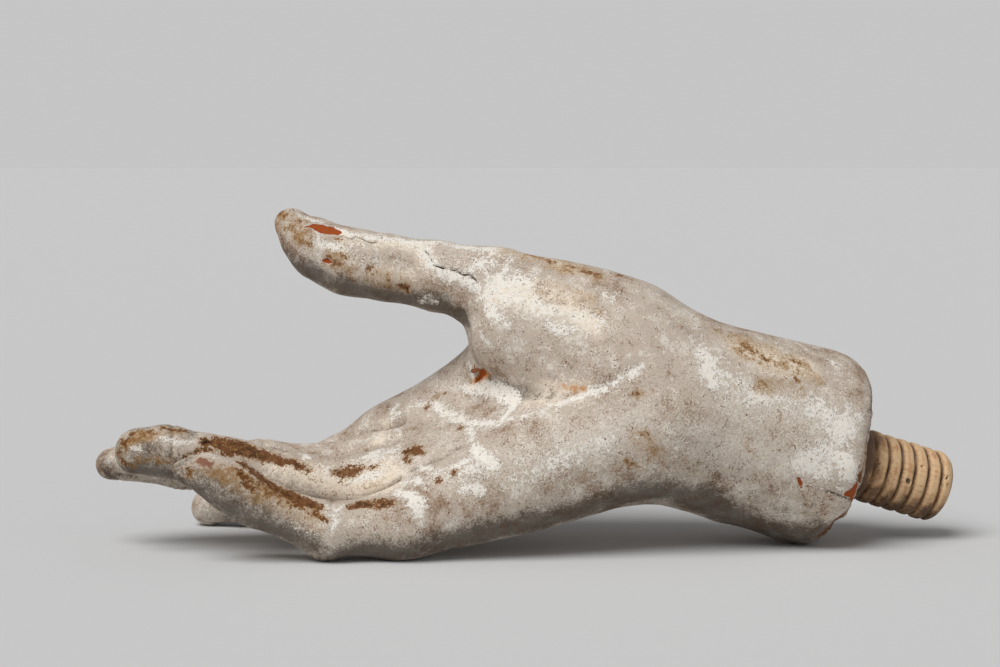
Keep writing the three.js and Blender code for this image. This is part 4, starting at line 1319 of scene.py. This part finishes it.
class HAND_OT_carve(bpy.types.Operator):
    """Carves and ages the palm, the thumb and the four fingers"""
    bl_idname = "hand.carve"
    bl_label = "Carve and age the hand"

    def execute(self, context):
        sizes = context.scene.hand_sizes
        material = aged_gesso(context.scene.hand_colours)
        inside = {node: () for node in PEGS + (BRAD,)}
        seat, thumbward = thumb_seat()
        fingerward = np.array((-1.0, 0, 0))
        knuckle_x = (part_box("palm_block")[0].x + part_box("little_finger")[1].x) / 2 / MM
        knuckles = np.array((knuckle_x, 0, 0))
        digits = [f"{name}_finger" for name in FINGERS]

        parts = {"palm_block": (), "thumb": [(seat + JOINT_MARGIN * thumbward, thumbward)], **inside}
        parts.update({node: [(knuckles + JOINT_MARGIN * fingerward, fingerward)] for node in digits})
        cuts = [
            (seat, thumbward, seat - THUMB_ROOM, seat + THUMB_ROOM),
            (knuckles, fingerward, -EVERYWHERE, EVERYWHERE),
        ]
        gessoed("palm_block", parts, sizes.palm_voxel, cuts, material, "gessoed_palm")

        behind = (seat - JOINT_MARGIN * thumbward, -thumbward)
        below = (seat - (0, 0, THUMB_REACH), (0, 0, -1))
        parts = {"thumb": (), "palm_block": [behind, below], **inside}
        cuts = [(seat, -thumbward, -EVERYWHERE, EVERYWHERE)]
        gessoed("thumb", parts, sizes.digit_voxel, cuts, material, "gessoed_thumb")

        behind = (knuckles - JOINT_MARGIN * fingerward, -fingerward)
        cuts = [(knuckles, -fingerward, -EVERYWHERE, EVERYWHERE)]
        for node in digits:
            parts = {node: (), "palm_block": [behind], **inside}
            gessoed(node, parts, sizes.digit_voxel, cuts, material, f"gessoed_{node}")
        return {"FINISHED"}


def turned_blank(radius, low, high):
    """A plain round rod along z, in mm, with rings enough for a thread and for a rounded end."""
    deselect()
    bpy.ops.mesh.primitive_cylinder_add(
        vertices=STUD_SIDES, radius=radius * MM, depth=(high - low) * MM,
        location=(0, 0, (low + high) / 2 * MM))
    stud = bpy.context.object
    stud.name = stud.data.name = "threaded_stud"
    bpy.ops.object.transform_apply(location=True, rotation=True, scale=True)
    bpy.ops.object.mode_set(mode="EDIT")
    bpy.ops.mesh.select_mode(type="FACE")
    bpy.ops.mesh.select_all(action="DESELECT")
    bpy.ops.object.mode_set(mode="OBJECT")
    for face in stud.data.polygons:
        face.select = abs(face.normal.z) > 0.9
    bpy.ops.object.mode_set(mode="EDIT")
    for share in STUD_END_RINGS:
        bpy.ops.mesh.inset(thickness=share * radius * MM)
    bpy.ops.mesh.select_mode(type="EDGE")
    bpy.ops.mesh.select_all(action="DESELECT")
    bpy.ops.object.mode_set(mode="OBJECT")
    corners = points_of(stud)
    for edge in stud.data.edges:
        a, b = edge.vertices
        edge.select = abs(corners[a, 2] - corners[b, 2]) > (high - low) / 2
    bpy.ops.object.mode_set(mode="EDIT")
    bpy.ops.mesh.subdivide(number_cuts=STUD_RINGS)
    bpy.ops.mesh.select_mode(type="VERT")
    bpy.ops.object.mode_set(mode="OBJECT")
    return stud


class HAND_OT_turn_stud(bpy.types.Operator):
    """Turns the threaded wooden stud, with its rounded end, dents and pits"""
    bl_idname = "hand.turn_stud"
    bl_label = "Turn the stud"

    def execute(self, context):
        sizes = context.scene.stud_sizes
        place, axis = wrist_place()
        turn = Vector((0, 0, 1)).rotation_difference(Vector(axis)).to_matrix()
        local = (points_of(frame["nodes"][STUD]) - place) @ np.array(turn)
        low, high = local[:, 2].min(), local[:, 2].max()
        radius = np.linalg.norm(local[:, :2], axis=1).max()
        pitch = sizes.pitch / MM
        crest = np.linalg.norm(local[:, :2], axis=1) > radius - CREST_SLACK
        phase = local[crest, 2] / pitch - np.arctan2(local[crest, 1], local[crest, 0]) / math.tau
        start = np.angle(np.mean(np.exp(1j * math.tau * phase))) / math.tau

        stud = turned_blank(radius, low, high)
        points = points_of(stud)
        spread = np.linalg.norm(points[:, :2], axis=1)
        around = np.arctan2(points[:, 1], points[:, 0])
        share = np.mod(points[:, 2] / pitch - around / math.tau - start + 0.5, 1) - 0.5
        groove = np.abs(2 * share) ** STUD_CREST_POWER
        depth = sizes.thread_depth / MM * groove
        for height, *dents in STUD_DENTS:
            depth += height * unevenness(points, *dents)
        rounding = sizes.end_rounding / MM
        from_end = np.clip(rounding - np.minimum(high - points[:, 2], points[:, 2] - low), 0, rounding)
        envelope = radius - rounding + np.sqrt(rounding**2 - from_end**2)
        on_side = spread > radius - EDGE_SLACK
        wanted = np.minimum(radius - np.maximum(depth, 0), envelope)
        scale = np.where(on_side, wanted / np.maximum(spread, 1e-6), (radius - rounding) / radius)
        points[:, :2] *= scale[:, None]
        at_end = (points[:, 2] > high - EDGE_SLACK) & ~on_side
        height, *dents = STUD_END_DENTS
        points[at_end, 2] += height * unevenness(points[at_end], *dents) - STUD_END_DISH
        world = points @ np.array(turn).T + place
        place_points(stud, world)
        normals = normals_of(stud)
        faces = [tuple(face.vertices) for face in stud.data.polygons]
        tree = BVHTree.FromPolygons([tuple(point) for point in world], faces)
        edged = wandering(world, *PIT_EDGE)
        pits = np.full(len(world), -PIT_REACH)
        for label, chain in STUD_PITS.items():
            for across, down, width in chain:
                spot = (on_surface(tree, label, across, down), width)
                pits = np.maximum(pits, depth_in(edged, [spot], PIT_REACH))
        place_points(stud, world - normals * (STUD_PIT_DEPTH * step(*PIT_EDGES, pits))[:, None])
        # Painted shade: the wrist rim's shadow over the stud's root, and the shade on its underside
        rim_shadow = step(*STUD_ROOT_SHADE, points[:, 2])
        underside = STUD_UNDERSIDE_SHADE * step(*STUD_FACING, -normals[:, 2])
        # How deep in its groove each point lies, for the painted shade in the thread
        paint_attribute(stud, "groove", np.where(on_side, groove, 0.0))
        paint_attribute(stud, "blush", np.where(on_side, 1 - np.abs(4 * share), 0.0))
        paint_attribute(stud, "shade", np.maximum(rim_shadow, underside))
        paint_attribute(stud, "pit", pits)
        attribute = stud.data.attributes.new("turned", "FLOAT_VECTOR", "POINT")
        attribute.data.foreach_set("vector", (points * MM).astype(np.float32).ravel())
        finish_piece(stud, turned_wood(context.scene.hand_colours), "screw", [STUD])
        return {"FINISHED"}


class HAND_OT_dress_pins(bpy.types.Operator):
    """Gives the dowels and the brad inside the hand their wood and rust"""
    bl_idname = "hand.dress_pins"
    bl_label = "Finish the dowels and the brad"

    def execute(self, context):
        colours = context.scene.hand_colours
        finishes = {**dict.fromkeys(PEGS, dowel_wood(colours)), BRAD: rusted_iron(colours)}
        for node, material in finishes.items():
            materials = frame["nodes"][node].data.materials
            materials.clear()
            materials.append(material)
        return {"FINISHED"}


class HAND_OT_set_stage(bpy.types.Operator):
    """Sets the pale floor, the soft lights and the camera of the photograph"""
    bl_idname = "hand.set_stage"
    bl_label = "Set the stage"

    def execute(self, context):
        scene = context.scene
        deselect()
        bpy.ops.mesh.primitive_circle_add(vertices=96, radius=FLOOR_RADIUS, fill_type="NGON")
        floor = context.object
        floor.name = floor.data.name = "floor"
        material, tree, shader = new_material("matt_pale_board")
        inputs = {"Base Color": list(scene.hand_colours.floor), "Roughness": 0.9, "Specular IOR Level": 0.2}
        plug(tree, shader, inputs)
        floor.data.materials.append(material)

        for name, source, width, strength in STAGE_LIGHTS:
            lamp = bpy.data.lights.new(name, "SUN")
            lamp.angle = math.radians(width)
            lamp.energy = strength
            lamp_object = bpy.data.objects.new(name, lamp)
            scene.collection.objects.link(lamp_object)
            lamp_object.location = source
            lamp_object.rotation_euler = Vector(source).to_track_quat("Z", "Y").to_euler()

        world = bpy.data.worlds.new("soft_studio")
        scene.world = world
        world.use_nodes = True
        tree = world.node_tree
        path = add(tree, "ShaderNodeLightPath", {}, {}).outputs
        inputs = {0: path["Is Camera Ray"], 1: path["Is Glossy Ray"]}
        seen = add(tree, "ShaderNodeMath", {"operation": "MAXIMUM"}, inputs)
        inputs = {"Value": seen, "To Min": WORLD_LIGHT, "To Max": BACKDROP}
        level = add(tree, "ShaderNodeMapRange", {}, inputs)
        plug(tree, tree.nodes["Background"], {"Color": (1, 1, 1, 1), "Strength": level})
        scene.view_settings.view_transform = "Standard"

        camera_data = bpy.data.cameras.new("photo_camera")
        camera_data.lens = CAMERA_LENS
        camera_data.sensor_width = CAMERA_SENSOR
        camera_data.clip_start = 0.01
        camera = bpy.data.objects.new("photo_camera", camera_data)
        scene.collection.objects.link(camera)
        camera.location = Vector(np.array(CAMERA_PLACE) + centring()) * MM
        camera.rotation_euler = (math.radians(90 - CAMERA_PITCH), 0, 0)
        scene.camera = camera
        return {"FINISHED"}


class HAND_PT_panel(bpy.types.Panel):
    """Lists the steps and the sizes and colours they use"""
    bl_idname = "HAND_PT_panel"
    bl_label = "Mannequin hand"
    bl_space_type = "VIEW_3D"
    bl_region_type = "UI"
    bl_category = "Mannequin hand"

    def draw(self, context):
        for operator in OPERATORS:
            self.layout.operator(operator.bl_idname)
        for group in (context.scene.hand_sizes, context.scene.stud_sizes, context.scene.hand_colours):
            box = self.layout.box()
            for name in group.__annotations__:
                box.prop(group, name)


OPERATORS = (HAND_OT_set_stage, HAND_OT_carve, HAND_OT_turn_stud, HAND_OT_dress_pins)
CLASSES = (HandSizes, StudSizes, HandColours) + OPERATORS + (HAND_PT_panel,)


def register():
    for cls in CLASSES:
        bpy.utils.register_class(cls)
    bpy.types.Scene.hand_sizes = bpy.props.PointerProperty(type=HandSizes)
    bpy.types.Scene.stud_sizes = bpy.props.PointerProperty(type=StudSizes)
    bpy.types.Scene.hand_colours = bpy.props.PointerProperty(type=HandColours)


def unregister():
    del bpy.types.Scene.hand_colours
    del bpy.types.Scene.stud_sizes
    del bpy.types.Scene.hand_sizes
    for cls in reversed(CLASSES):
        bpy.utils.unregister_class(cls)


def main():
    register()
    bpy.ops.hand.set_stage()
    bpy.ops.hand.carve()
    bpy.ops.hand.turn_stud()
    bpy.ops.hand.dress_pins()


if __name__ == "__main__":
    main()
